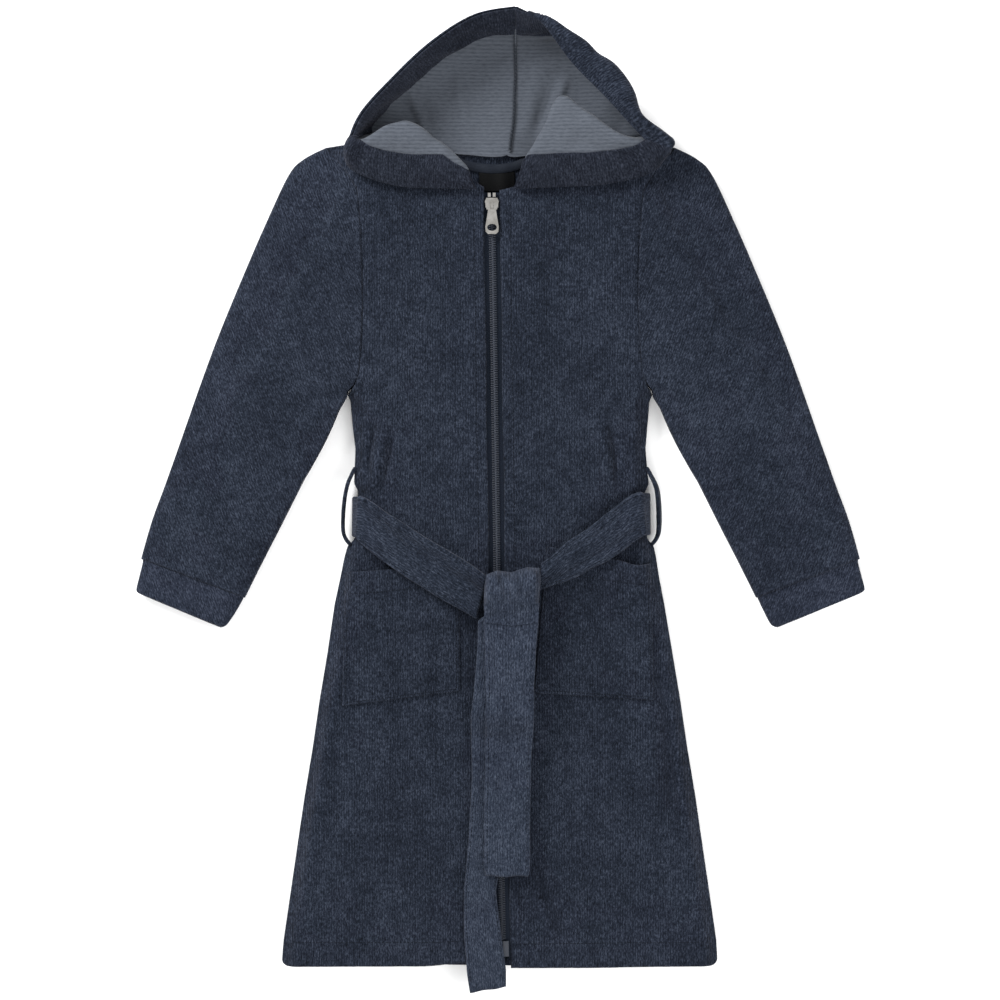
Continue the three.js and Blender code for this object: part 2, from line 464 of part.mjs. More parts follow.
add('belt_knot', fromSolid(toSolid(pillow(knotOutline, 30.3, 55)).subtract(toSolid(bite)).subtract(toSolid(biteLow))), BELT);

// tails: rounded tops under the knot, then down over the pocket edge onto the front
function tail(tab, zTop, zLow, thick) {
  const rows = [];
  const cross = [0, 0.1, 0.35, 0.65, 0.9, 1];
  const drop = (y) => lerp(zTop, zLow, smooth((-178 - y) / 26));
  for (const a of [84, 62, 40, 20, 4]) {
    const c = Math.cos(a * Math.PI / 180) * TAIL_R, s = Math.sin(a * Math.PI / 180) * TAIL_R;
    rows.push(cross.map((t) => [KNOT_PIVOT[0] + lerp(-c, c, t), KNOT_PIVOT[1] + s, zTop]));
  }
  for (const [a, b] of tab.slice(1)) rows.push(cross.map((t) => { const x = lerp(a[0], b[0], t), y = lerp(a[1], b[1], t); return [x, y, drop(y)]; }));
  return plate(rows, thick);
}
add('belt_tail_front', tail(TAIL_F, 42.6, 30.4, 5), TAIL);
add('belt_tail_back', tail(TAIL_B, 33.6, 24.8, 4.6), TAIL);

// loops on the side seams, standing out round the belt
function loop(side) {
  const e = (y) => table(SIDE, y, side < 0 ? 1 : 2);
  const line = [[29, 1.6], [22, 3.4], [12, 6.9], [2, 8.3], [-10, 8.6], [-20, 8.5], [-28, 8.4], [-34, 7.6], [-39, 4.2]];
  const rows = [5.4, 15.4].map((z) => line.map(([y, o]) => [e(Math.min(20, Math.max(-30, y))) + side * o, y, z]));
  return shell(rows, -0.8, 0.8);
}
add('belt_loop_right', loop(-1), NAVY);
add('belt_loop_left', loop(1), NAVY);

// ---- zip -----------------------------------------------------------------
function strip(side, from, to, z0, z1, yTop, yBottom) {
  const rows = [yBottom, yTop].map((y) => [from, to].map((d) => [zipX(y) + side * d, y, (z0 + z1) / 2]));
  return plate(rows, z1 - z0);
}
for (const [side, name] of [[1, 'left'], [-1, 'right']]) {
  add(`zip_tape_${name}`, strip(side, SLIT, TAPE_W, TAPE_Z[0], TAPE_Z[1], ZIP_TOP_Y - 1, ZIP_BOTTOM_Y), INK, 0.8);
  add(`zip_coil_${name}`, strip(side, SLIT, COIL_W, COIL_Z[0], COIL_Z[1], ZIP_TOP_Y - 5.5, ZIP_BOTTOM_Y + 14), INK, 0.5);
  add(`zip_top_stop_${name}`, strip(side, SLIT + 0.3, COIL_W, COIL_Z[0], COIL_Z[1], ZIP_TOP_Y - 1.5, ZIP_TOP_Y - 5), NICKEL, 0.35, 0.9);
}
add('zip_insertion_pin', strip(-1, SLIT, 2.6, COIL_Z[0], COIL_Z[1] - 0.2, ZIP_BOTTOM_Y + 13.5, ZIP_BOTTOM_Y + 0.5), INK, 0.5);
add('zip_retainer_box', strip(1, SLIT, 5.4, COIL_Z[0], COIL_Z[1] + 0.2, ZIP_BOTTOM_Y + 13.5, ZIP_BOTTOM_Y + 0.5), INK, 0.5);

// slider: top and bottom plates joined by a thin blade that runs in the slit between the two coils
const SLIDER_Y = [247, 257], SX0 = zipX(252);
const slider = toSolid(prism([[SX0 - 4.4, SLIDER_Y[0]], [SX0 + 4.4, SLIDER_Y[0]], [SX0 + 5.9, SLIDER_Y[1] - 3], [SX0 + 4.6, SLIDER_Y[1]], [SX0 - 4.6, SLIDER_Y[1]], [SX0 - 5.9, SLIDER_Y[1] - 3]], 20.6, 22.4))
  .add(toSolid(prism([[SX0 - 4.4, SLIDER_Y[0]], [SX0 + 4.4, SLIDER_Y[0]], [SX0 + 5.9, SLIDER_Y[1] - 3], [SX0 + 4.6, SLIDER_Y[1]], [SX0 - 4.6, SLIDER_Y[1]], [SX0 - 5.9, SLIDER_Y[1] - 3]], 14.4, 15.9)))
  .add(toSolid(box(SX0 - 0.25, SX0 + 0.25, 249.5, 256.5, 15, 21)))
  .add(toSolid(box(SX0 - 5.4, SX0 - 3.9, 249, 255, 18.4, 21)))
  .add(toSolid(box(SX0 + 3.9, SX0 + 5.4, 249, 255, 18.4, 21)))
  .add(toSolid(box(SX0 - 1.1, SX0 + 1.1, 252.6, 254, 22, 25)))
  .add(toSolid(box(SX0 - 1.1, SX0 + 1.1, 248.2, 249.4, 22, 25)))
  .add(toSolid(box(SX0 - 1.1, SX0 + 1.1, 248.2, 254, 24.2, 25.4)));
add('zip_slider', fromSolid(slider), NICKEL, 0.35, 0.9);
// pull tab: a flat plate, hooked under the slider's bridge, with a ring hole
const tabOutline = [[-2.6, 1.6], [2.6, 1.6], [4.2, -9], [5.7, -18], [5.4, -22], [3.4, -24], [-3.4, -24], [-5.4, -22], [-5.7, -18], [-4.2, -9]];
const TAB_Y = 250.2, TX = zipX(240);
const tab = toSolid(prism(tabOutline.map(([x, y]) => [TX + x, TAB_Y + y]), 22.75, 23.85))
  .subtract(toSolid(box(SX0 - 1.6, SX0 + 1.6, 247, 250.6, 22, 26)))
  .subtract(toSolid(new THREE.CylinderGeometry(3, 3, 4, 24).rotateX(Math.PI / 2).scale(1.35, 1, 1).translate(TX, TAB_Y - 18.4, 23)));
add('zip_pull_tab', fromSolid(tab), NICKEL, 0.35, 0.9);

export default robe;
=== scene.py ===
# Child's hooded bathrobe: fabric, trim and zip as finished meshes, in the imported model's frame.
import math
import bpy
import bmesh
import numpy as np
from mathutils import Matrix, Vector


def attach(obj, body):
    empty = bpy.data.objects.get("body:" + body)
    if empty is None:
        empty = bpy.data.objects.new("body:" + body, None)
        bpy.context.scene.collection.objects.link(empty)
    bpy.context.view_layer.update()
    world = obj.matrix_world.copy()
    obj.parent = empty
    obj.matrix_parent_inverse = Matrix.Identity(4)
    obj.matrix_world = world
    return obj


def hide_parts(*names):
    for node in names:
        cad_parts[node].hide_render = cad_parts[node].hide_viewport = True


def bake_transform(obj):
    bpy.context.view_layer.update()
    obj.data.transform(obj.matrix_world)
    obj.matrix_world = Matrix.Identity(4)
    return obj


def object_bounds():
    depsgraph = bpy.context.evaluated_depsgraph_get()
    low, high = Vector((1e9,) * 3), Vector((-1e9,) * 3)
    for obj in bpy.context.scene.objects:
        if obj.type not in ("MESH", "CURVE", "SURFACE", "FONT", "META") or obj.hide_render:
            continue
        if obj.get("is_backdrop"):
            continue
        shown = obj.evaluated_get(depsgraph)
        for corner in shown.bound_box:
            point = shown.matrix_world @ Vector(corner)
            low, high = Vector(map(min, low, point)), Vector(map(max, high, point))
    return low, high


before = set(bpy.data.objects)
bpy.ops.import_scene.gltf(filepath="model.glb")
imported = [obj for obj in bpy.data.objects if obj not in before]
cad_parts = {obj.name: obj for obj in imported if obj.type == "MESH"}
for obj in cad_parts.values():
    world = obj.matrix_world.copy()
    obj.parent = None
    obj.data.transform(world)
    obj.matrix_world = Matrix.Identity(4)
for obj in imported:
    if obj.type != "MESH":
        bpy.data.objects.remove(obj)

CAD_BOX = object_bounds()
rng = np.random.default_rng(11)
MM = 0.001

# ---------------------------------------------------------------- helpers
def lerp(a, b, t):
    return a + (b - a) * t

def smooth(t):
    t = np.clip(t, 0.0, 1.0)
    return t * t * (3 - 2 * t)

class Waves:
    """Smooth repeatable unevenness: a sum of plane waves with lengths near the given one, in mm."""
    def __init__(self, seed, length, n=14, stretch=(1.0, 1.0)):
        r = np.random.default_rng(seed)
        a = r.uniform(0, 2 * math.pi, n)
        k = 2 * math.pi / (length * r.uniform(0.6, 1.7, n))
        self.kx = k * np.cos(a) / stretch[0]
        self.ky = k * np.sin(a) / stretch[1]
        self.p = r.uniform(0, 2 * math.pi, n)
        self.n = n
    def __call__(self, x, y):
        s = 0
        for kx, ky, p in zip(self.kx, self.ky, self.p):
            s = s + np.sin(kx * x + ky * y + p)
        return s / math.sqrt(self.n / 2)

def seg_dist(x, y, pts):
    """Distance to a polyline, and how far along it (0 to 1) the nearest point is."""
    pts = np.asarray(pts, float)
    lens = np.hypot(*(pts[1:] - pts[:-1]).T)
    tot = lens.sum()
    best = np.full(np.shape(x), 1e9)
    along = np.zeros(np.shape(x))
    acc = 0.0
    for (ax, ay), (bx, by), ln in zip(pts[:-1], pts[1:], lens):
        t = np.clip(((x - ax) * (bx - ax) + (y - ay) * (by - ay)) / max(ln * ln, 1e-9), 0, 1)
        d = np.hypot(x - (ax + t * (bx - ax)), y - (ay + t * (by - ay)))
        m = d < best
        best = np.where(m, d, best)
        along = np.where(m, (acc + t * ln) / tot, along)
        acc += ln
    return best, along

def folds(x, y, lines):
    """Sum of soft ridges (positive) and valleys (negative). Each: points, height, half width, taper."""
    z = 0
    for pts, h, w, taper in lines:
        d, a = seg_dist(x, y, pts)
        ends = smooth(a / taper) * smooth((1 - a) / taper) if taper > 0 else 1
        z = z + h * np.exp(-(d / w) ** 2) * ends
    return z

def catmull(P, n, axis=0):
    """Resamples control points smoothly to n rows along an axis."""
    P = np.moveaxis(np.asarray(P, float), axis, 0)
    m = len(P)
    s = np.linspace(0, m - 1, n) if np.isscalar(n) else np.asarray(n) * (m - 1)
    i = np.minimum(s.astype(int), m - 2)
    t = (s - i).reshape((-1,) + (1,) * (P.ndim - 1))
    g = lambda k: P[np.clip(k, 0, m - 1)]
    a, b, c, e = g(i - 1), g(i), g(i + 1), g(i + 2)
    out = 0.5 * (2 * b + (c - a) * t + (2 * a - 5 * b + 4 * c - e) * t ** 2 + (3 * b - a - 3 * c + e) * t ** 3)
    return np.moveaxis(out, 0, axis)

def samples(n, length, r):
    """Positions 0 to 1, with extra ones close to both ends so that an edge can be rounded."""
    e = np.array([0, 0.08, 0.25, 0.55, 1.0]) * r / length
    mid = np.linspace(e[-1], 1 - e[-1], n)
    return np.concatenate([e[:-1], mid, (1 - e[:-1])[::-1]])

def normals(P):
    a = np.gradient(P, axis=0)
    b = np.gradient(P, axis=1)
    n = np.cross(a, b)
    return n / np.maximum(np.linalg.norm(n, axis=2, keepdims=True), 1e-9)

def arc(P, axis):
    d = np.linalg.norm(np.diff(P, axis=axis), axis=2)
    z = np.zeros_like(np.take(d, [0], axis=axis))
    return np.concatenate([z, np.cumsum(d, axis=axis)], axis=axis)

def new_mesh(name, V, F, UV=None, mats=(), mat_ids=None, smooth_shade=True):
    me = bpy.data.meshes.new(name)
    V = np.asarray(V, float) * MM
    me.from_pydata(V.tolist(), [], [tuple(int(q) for q in f) for f in F])
    if UV is not None:
        lay = me.uv_layers.new(name="Cloth")
        loops = np.empty(len(me.loops), int)
        me.loops.foreach_get("vertex_index", loops)
        lay.data.foreach_set("uv", (np.asarray(UV, float) * MM)[loops].ravel())
    for m in mats:
        me.materials.append(m)
    if mat_ids is not None:
        me.polygons.foreach_set("material_index", np.asarray(mat_ids, int))
    me.polygons.foreach_set("use_smooth", np.full(len(me.polygons), smooth_shade))
    me.update()
    bm = bmesh.new()
    bm.from_mesh(me)
    bmesh.ops.recalc_face_normals(bm, faces=bm.faces)
    bm.to_mesh(me)
    bm.free()
    ob = bpy.data.objects.new(name, me)
    bpy.context.scene.collection.objects.link(ob)
    return ob

def sheet_mesh(name, P, T, UV, mats, lo=0.5, hi=0.5, under=0, round_edges=(1, 1, 1, 1)):
    """A closed sheet of cloth round the surface P. T is its thickness, lo and hi how much lies on each side.
    Its edges close to a rounded line. mats[0] is on the side the surface's normal points to, mats[under] on the other."""
    n, m, _ = P.shape
    N = normals(P)
    r = T * 0.5
    a0, a1 = arc(P, 0), arc(P, 1)
    ds = [a0, a0[-1:] - a0, a1, a1[:, -1:] - a1]
    d = np.full((n, m), 1e9)
    for k, q in zip(round_edges, ds):
        if k:
            d = np.minimum(d, q)
    e = np.sqrt(np.clip(1 - (1 - np.clip(d / r, 0, 1)) ** 2, 0, 1))[..., None]
    top = P + N * T * hi * e
    bot = P - N * T * lo * e
    idx_t = np.arange(n * m).reshape(n, m)
    idx_b = idx_t + n * m
    border = np.zeros((n, m), bool)
    border[0] = border[-1] = True
    border[:, 0] = border[:, -1] = True
    V = np.concatenate([top.reshape(-1, 3), bot.reshape(-1, 3)])
    U = np.concatenate([UV.reshape(-1, 2)] * 2)
    F, M = [], []
    q = np.stack([idx_t[:-1, :-1], idx_t[1:, :-1], idx_t[1:, 1:], idx_t[:-1, 1:]], -1).reshape(-1, 4)
    F.append(q); M += [0] * len(q)
    q = np.stack([idx_b[:-1, :-1], idx_b[:-1, 1:], idx_b[1:, 1:], idx_b[1:, :-1]], -1).reshape(-1, 4)
    F.append(q); M += [under] * len(q)
    ring = [(0, j) for j in range(m)] + [(i, m - 1) for i in range(1, n)] + [(n - 1, j) for j in range(m - 2, -1, -1)] + [(i, 0) for i in range(n - 2, 0, -1)]
    w = []
    for (i, j), (k, l) in zip(ring, ring[1:] + ring[:1]):
        w.append((idx_t[i, j], idx_t[k, l], idx_b[k, l], idx_b[i, j]))
    F.append(np.array(w)); M += [0] * len(w)
    ob = new_mesh(name, V, np.concatenate(F), U, mats, M)
    bm = bmesh.new()
    bm.from_mesh(ob.data)
    bmesh.ops.remove_doubles(bm, verts=bm.verts, dist=2e-6)
    bmesh.ops.recalc_face_normals(bm, faces=bm.faces)
    bm.to_mesh(ob.data)
    bm.free()
    return ob

def tube_mesh(name, outer, inner, UVo, mats):
    """A sleeve: rings of points outside and inside, closed at both ends."""
    n, m, _ = outer.shape
    V = np.concatenate([outer.reshape(-1, 3), inner.reshape(-1, 3)])
    # the seam column is not doubled in the mesh; the last faces wrap round to the first column
    F, M = [], []
    O = lambda i, j: i * m + (j % m)
    I = lambda i, j: n * m + i * m + (j % m)
    for i in range(n - 1):
        for j in range(m):
            F.append((O(i, j), O(i, j + 1), O(i + 1, j + 1), O(i + 1, j))); M.append(0)
            F.append((I(i, j), I(i + 1, j), I(i + 1, j + 1), I(i, j + 1))); M.append(0)
    for j in range(m):
        F.append((O(0, j), I(0, j), I(0, j + 1), O(0, j + 1))); M.append(0)
        F.append((O(n - 1, j), O(n - 1, j + 1), I(n - 1, j + 1), I(n - 1, j))); M.append(0)
    U = np.concatenate([UVo.reshape(-1, 2)] * 2)
    return new_mesh(name, V, F, U, mats, M)

# ---------------------------------------------------------------- materials
def material(name, rough):
    m = bpy.data.materials.new(name)
    m.use_nodes = True
    nt = m.node_tree
    b = nt.nodes["Principled BSDF"]
    b.inputs["Roughness"].default_value = rough
    return m, nt, b

def math_node(nt, op, a, b=None, c=None):
    n = nt.nodes.new("ShaderNodeMath")
    n.operation = op
    for k, v in enumerate((a, b, c)):
        if v is None:
            continue
        if isinstance(v, (int, float)):
            n.inputs[k].default_value = v
        else:
            nt.links.new(v, n.inputs[k])
    return n.outputs[0]

def scaled(nt, vec, sx, sy, sz=1.0):
    n = nt.nodes.new("ShaderNodeVectorMath")
    n.operation = "MULTIPLY"
    nt.links.new(vec, n.inputs[0])
    n.inputs[1].default_value = (sx, sy, sz)
    return n.outputs[0]

def noise_tex(nt, vec, scale, detail=2.0, rough=0.5, distort=0.0):
    n = nt.nodes.new("ShaderNodeTexNoise")
    n.noise_dimensions = "2D"
    nt.links.new(vec, n.inputs["Vector"])
    n.inputs["Scale"].default_value = scale
    n.inputs["Detail"].default_value = detail
    n.inputs["Roughness"].default_value = rough
    n.inputs["Distortion"].default_value = distort
    return n.outputs[0]

def ramp(nt, fac, stops):
    n = nt.nodes.new("ShaderNodeValToRGB")
    nt.links.new(fac, n.inputs[0])
    el = n.color_ramp.elements
    while len(el) < len(stops):
        el.new(0.5)
    for e, (p, c) in zip(el, stops):
        e.position = p
        e.color = (c[0], c[1], c[2], 1)
    return n.outputs[0]

def mix_rgb(nt, fac, a, b, mode="MIX"):
    n = nt.nodes.new("ShaderNodeMix")
    n.data_type = "RGBA"
    n.blend_type = mode
    for s, v in ((n.inputs[0], fac), (n.inputs[6], a), (n.inputs[7], b)):
        if isinstance(v, (int, float)):
            s.default_value = v
        elif isinstance(v, tuple):
            s.default_value = (*v, 1)
        else:
            nt.links.new(v, s)
    return n.outputs[2]

GAIN = 0.30  # the light is well over 1, so that the floor is white
def lin(rgb):
    return tuple(GAIN * ((v / 255 / 12.92) if v <= 10 else ((v / 255 + 0.055) / 1.055) ** 2.4) for v in rgb)

def terry(name, dark, mid, light, pitch=2.15, rib=0.3, bump=1.0, cross=False):
    """Heathered towelling: fine ribs along the cloth, mottled with darker and lighter yarn."""
    m, nt, b = material(name, 0.95)
    uv = nt.nodes.new("ShaderNodeUVMap")
    uv.uv_map = "Cloth"
    sep = nt.nodes.new("ShaderNodeSeparateXYZ")
    v = uv.outputs[0]
    # a small wander, so that the ribs aren't ruled lines
    wob = noise_tex(nt, scaled(nt, v, 260, 90), 1.0, 2.0)
    nt.links.new(v, sep.inputs[0])
    across = sep.outputs[1] if cross else sep.outputs[0]
    ph = math_node(nt, "MULTIPLY_ADD", across, 2 * math.pi / (pitch * MM), math_node(nt, "MULTIPLY", wob, 5.2))
    ribs = math_node(nt, "MULTIPLY_ADD", math_node(nt, "SINE", ph), 0.5, 0.5)
    sx, sy = (0.45, 1.0) if cross else (1.0, 0.45)
    loops = noise_tex(nt, scaled(nt, v, 1100 * sx, 1100 * sy), 1.0, 3.0, 0.65)
    streak = noise_tex(nt, scaled(nt, v, 980 * sx, 980 * sy * 0.9), 1.0, 3.0, 0.72)
    fleck = noise_tex(nt, scaled(nt, v, 430 * sx, 430 * sy), 1.0, 3.0, 0.6)
    blot = noise_tex(nt, scaled(nt, v, 95, 70), 1.0, 4.0, 0.62)
    wide = noise_tex(nt, scaled(nt, v, 18, 11), 1.0, 2.0, 0.5)
    mixv = math_node(nt, "ADD", math_node(nt, "MULTIPLY", streak, 0.58), math_node(nt, "MULTIPLY", blot, 0.17))
    mixv = math_node(nt, "ADD", mixv, math_node(nt, "MULTIPLY", fleck, 0.25))
    mixv = math_node(nt, "ADD", mixv, math_node(nt, "MULTIPLY_ADD", wide, 0.10, -0.05))
    mixv = math_node(nt, "ADD", mixv, math_node(nt, "MULTIPLY_ADD", ribs, 0.055, -0.027))
    col = ramp(nt, mixv, [(0.33, dark), (0.5, mid), (0.68, light)])
    nt.links.new(col, b.inputs["Base Color"])
    h = math_node(nt, "ADD", math_node(nt, "MULTIPLY", ribs, rib), math_node(nt, "MULTIPLY", loops, 0.75))
    h = math_node(nt, "ADD", h, math_node(nt, "MULTIPLY", streak, 0.35))
    bp = nt.nodes.new("ShaderNodeBump")
    bp.inputs["Strength"].default_value = 0.85 * bump
    bp.inputs["Distance"].default_value = 0.0009
    nt.links.new(h, bp.inputs["Height"])
    nt.links.new(bp.outputs[0], b.inputs["Normal"])
    b.inputs["Specular IOR Level"].default_value = 0.06
    b.inputs["Sheen Weight"].default_value = 0.07
    b.inputs["Sheen Roughness"].default_value = 0.45
    b.inputs["Sheen Tint"].default_value = (0.75, 0.76, 0.9, 1)
    return m

def jersey(name, base, line, pitch=3.1):
    """Grey lining with fine level lines across it."""
    m, nt, b = material(name, 0.9)
    uv = nt.nodes.new("ShaderNodeUVMap"); uv.uv_map = "Cloth"
    v = uv.outputs[0]
    sep = nt.nodes.new("ShaderNodeSeparateXYZ"); nt.links.new(v, sep.inputs[0])
    wob = noise_tex(nt, scaled(nt, v, 60, 120), 1.0, 2.0)
    ph = math_node(nt, "MULTIPLY_ADD", sep.outputs[1], 2 * math.pi / (pitch * MM), math_node(nt, "MULTIPLY", wob, 3.0))
    s = math_node(nt, "MULTIPLY_ADD", math_node(nt, "SINE", ph), 0.5, 0.5)
    fine = noise_tex(nt, scaled(nt, v, 190, 900), 1.0, 3.0, 0.7)
    mot = noise_tex(nt, scaled(nt, v, 240, 420), 1.0, 3.0, 0.65)
    t = math_node(nt, "ADD", math_node(nt, "MULTIPLY", s, 0.2), math_node(nt, "MULTIPLY", fine, 0.5))
    t = math_node(nt, "ADD", t, math_node(nt, "MULTIPLY", mot, 0.3))
    col = ramp(nt, t, [(0.22, line), (0.55, base), (0.9, tuple(c * 1.35 for c in base))])
    nt.links.new(col, b.inputs["Base Color"])
    bp = nt.nodes.new("ShaderNodeBump"); bp.inputs["Strength"].default_value = 0.5; bp.inputs["Distance"].default_value = 0.0005
    nt.links.new(t, bp.inputs["Height"]); nt.links.new(bp.outputs[0], b.inputs["Normal"])
    b.inputs["Specular IOR Level"].default_value = 0.08
    b.inputs["Sheen Weight"].default_value = 0.08
    return m

def woven(name, base, rough=0.7, pu=0.55, pv=0.4, strength=0.6):
    """Plain narrow fabric: tape, label or thread."""
    m, nt, b = material(name, rough)
    uv = nt.nodes.new("ShaderNodeUVMap"); uv.uv_map = "Cloth"
    sep = nt.nodes.new("ShaderNodeSeparateXYZ"); nt.links.new(uv.outputs[0], sep.inputs[0])
    a = math_node(nt, "SINE", math_node(nt, "MULTIPLY", sep.outputs[0], 2 * math.pi / (pu * MM)))
    c = math_node(nt, "SINE", math_node(nt, "MULTIPLY", sep.outputs[1], 2 * math.pi / (pv * MM)))
    w = math_node(nt, "MULTIPLY_ADD", math_node(nt, "MULTIPLY", a, c), 0.5, 0.5)
    n = noise_tex(nt, scaled(nt, uv.outputs[0], 700, 500), 1.0, 3.0, 0.6)
    t = math_node(nt, "ADD", math_node(nt, "MULTIPLY", w, 0.5), math_node(nt, "MULTIPLY", n, 0.5))
    col = ramp(nt, t, [(0.2, tuple(q * 0.65 for q in base)), (0.8, tuple(q * 1.3 for q in base))])
    nt.links.new(col, b.inputs["Base Color"])
    bp = nt.nodes.new("ShaderNodeBump"); bp.inputs["Strength"].default_value = strength; bp.inputs["Distance"].default_value = 0.0002
    nt.links.new(t, bp.inputs["Height"]); nt.links.new(bp.outputs[0], b.inputs["Normal"])
    b.inputs["Specular IOR Level"].default_value = 0.08
    return m

def metal(name):
    """Bright nickel plate with faint polishing marks."""
    m, nt, b = material(name, 0.28)
    tc = nt.nodes.new("ShaderNodeTexCoord")
    n = noise_tex(nt, scaled(nt, tc.outputs["Object"], 220, 1500, 220), 1.0, 2.0, 0.5)
    n2 = noise_tex(nt, scaled(nt, tc.outputs["Object"], 160, 160, 160), 1.0, 2.0, 0.5)
    r = math_node(nt, "MULTIPLY_ADD", n, 0.12, 0.24)
    nt.links.new(r, b.inputs["Roughness"])
    col = ramp(nt, n2, [(0.3, (0.30, 0.29, 0.27)), (0.7, (0.44, 0.43, 0.41))])
    nt.links.new(col, b.inputs["Base Color"])
    b.inputs["Metallic"].default_value = 1.0
    bp = nt.nodes.new("ShaderNodeBump"); bp.inputs["Strength"].default_value = 0.05; bp.inputs["Distance"].default_value = 0.0001
    nt.links.new(n, bp.inputs["Height"]); nt.links.new(bp.outputs[0], b.inputs["Normal"])
    return m

def plastic(name, base):
    m, nt, b = material(name, 0.45)
    tc = nt.nodes.new("ShaderNodeTexCoord")
    n = noise_tex(nt, scaled(nt, tc.outputs["Object"], 600, 600, 600), 1.0, 3.0, 0.6)
    col = ramp(nt, n, [(0.3, tuple(q * 0.75 for q in base)), (0.7, tuple(q * 1.2 for q in base))])
    nt.links.new(col, b.inputs["Base Color"])
    nt.links.new(math_node(nt, "MULTIPLY_ADD", n, 0.25, 0.35), b.inputs["Roughness"])
    return m

NAVY = terry("terry_navy", lin((16, 22, 32)), lin((47, 55, 71)), lin((94, 104, 124)))
SLEEVE = terry("terry_sleeve", lin((17, 23, 34)), lin((48, 56, 72)), lin((95, 105, 125)))
CUFF = terry("terry_cuff", lin((23, 30, 42)), lin((54, 62, 80)), lin((101, 110, 131)), pitch=1.9)
BELT = terry("terry_belt", lin((22, 29, 41)), lin((54, 63, 80)), lin((102, 112, 132)), pitch=2.3, rib=0.4)
# the tails and the knot are the same belt towelling as BELT, painted lighter: painted light on that cloth's own colour
TAILS_WITH_PAINTED_LIGHT = terry("terry_tails_with_painted_light", lin((29, 37, 51)), lin((66, 76, 95)), lin((116, 127, 148)), pitch=2.3, rib=0.4)
FACING = terry("terry_facing", lin((20, 24, 34)), lin((47, 53, 67)), lin((86, 93, 110)), pitch=2.2)
GREY = jersey("lining_grey", lin((122, 129, 141)), lin((89, 96, 108)))
TAPE = woven("zip_tape_cloth", lin((36, 46, 63)))
NECK = woven("neck_tape_cloth", lin((47, 54, 67)), pu=1.1, pv=0.5)
LABEL = woven("label_satin", lin((8, 10, 13)), rough=0.5, pu=0.35, pv=0.35, strength=0.3)
THREAD = woven("thread", lin((34, 40, 52)), pu=0.3, pv=0.3)
COIL = plastic("zip_coil_nylon", lin((56, 67, 88)))
NICKEL = metal("nickel")

# ---------------------------------------------------------------- sizes, in mm in the model's frame
SIDE = [[-396.2, -186.6, 184.9], [-392.0, -186.2, 184.9], [-375.8, -184.9, 184.0], [-335.0, -178.9, 178.1], [-294.2, -173.0, 172.1], [-253.4, -167.0, 166.2], [-212.6, -160.2, 159.4], [-171.8, -154.3, 153.4], [-131.0, -147.5, 146.6], [-90.2, -141.5, 139.8], [-66.4, -136.4, 135.2], [-49.4, -133.0, 132.6], [-35.0, -128.8, 129.6], [-15.4, -126.6, 127.9], [8.4, -124.9, 127.1], [22.0, -124.5, 125.4], [42.4, -123.7, 123.7], [62.8, -126.2, 125.4], [83.2, -127.9, 127.1], [88.7, -130.5, 129.6], [96.8, -123.7, 124.5], [109.5, -121.1, 121.1], [130.8, -119.4, 119.4], [169.0, -117.7, 117.7], [228.5, -119.4, 119.4], [262.5, -122.0, 122.0], [279.5, -132.2, 132.2], [289.7, -140.7, 141.5], [296.5, -149.2, 149.2]]
SL_R = [[[-151.7, 297.4], [-130.9, 86.6]], [[-178.1, 277.0], [-138.1, 73.8]], [[-200.2, 234.5], [-144.9, 61.1]], [[-217.2, 195.4], [-153.4, 44.1]], [[-238.4, 144.4], [-164.5, 22.0]], [[-253.7, 103.6], [-175.5, -0.1]], [[-271.6, 52.6], [-188.3, -25.6]], [[-286.0, 11.8], [-201.0, -50.3]], [[-297.1, -18.8], [-210.4, -69.0]], [[-306.4, -51.1], [-218.0, -84.3]]]
SL_L = [[[151.7, 297.4], [130.0, 86.6]], [[178.1, 277.0], [138.1, 73.8]], [[200.2, 234.5], [144.9, 61.1]], [[217.2, 195.4], [153.4, 44.1]], [[238.4, 144.4], [164.5, 22.0]], [[253.7, 103.6], [175.5, -0.1]], [[271.6, 52.6], [188.3, -25.6]], [[286.0, 11.8], [201.0, -50.3]], [[297.1, -18.8], [210.4, -69.0]], [[306.4, -51.1], [218.0, -84.3]]]
CF_R = [[[-305.2, -54.5], [-220.2, -86.5]], [[-308.1, -66.4], [-225.7, -96.2]], [[-310.7, -77.5], [-233.3, -107.2]], [[-308.1, -80.9], [-238.4, -109.8]]]
CF_L = [[[305.1, -54.5], [220.2, -86.5]], [[308.1, -66.4], [224.8, -96.2]], [[310.7, -76.6], [230.8, -107.2]], [[308.1, -80.0], [235.9, -109.8]]]
TAIL_F = [[[-14.0, -84.3], [34.4, -84.3]], [[-14.0, -98.7], [32.7, -98.7]], [[-13.2, -124.2], [30.2, -124.2]], [[-12.3, -155.7], [28.5, -155.7]], [[-12.3, -168.4], [28.5, -168.4]], [[-12.7, -183.7], [28.5, -183.7]], [[-13.2, -224.5], [25.9, -224.5]], [[-14.0, -273.0], [25.1, -273.0]], [[-14.0, -313.8], [25.1, -313.8]], [[-12.3, -319.7], [23.4, -319.7]]]
TAIL_B = [[[-15.7, -84.3], [26.8, -84.3]], [[-19.1, -120.0], [23.4, -120.0]], [[-22.5, -162.5], [20.0, -162.5]], [[-25.1, -183.7], [17.4, -183.7]], [[-25.1, -200.7], [16.6, -200.7]], [[-24.2, -235.6], [9.8, -235.6]], [[-26.8, -284.9], [3.8, -284.9]], [[-31.0, -333.3], [-3.8, -333.3]], [[-31.0, -366.5], [0.4, -366.5]], [[-28.5, -400.5], [4.7, -400.5]], [[-25.9, -419.2], [4.7, -414.1]]]
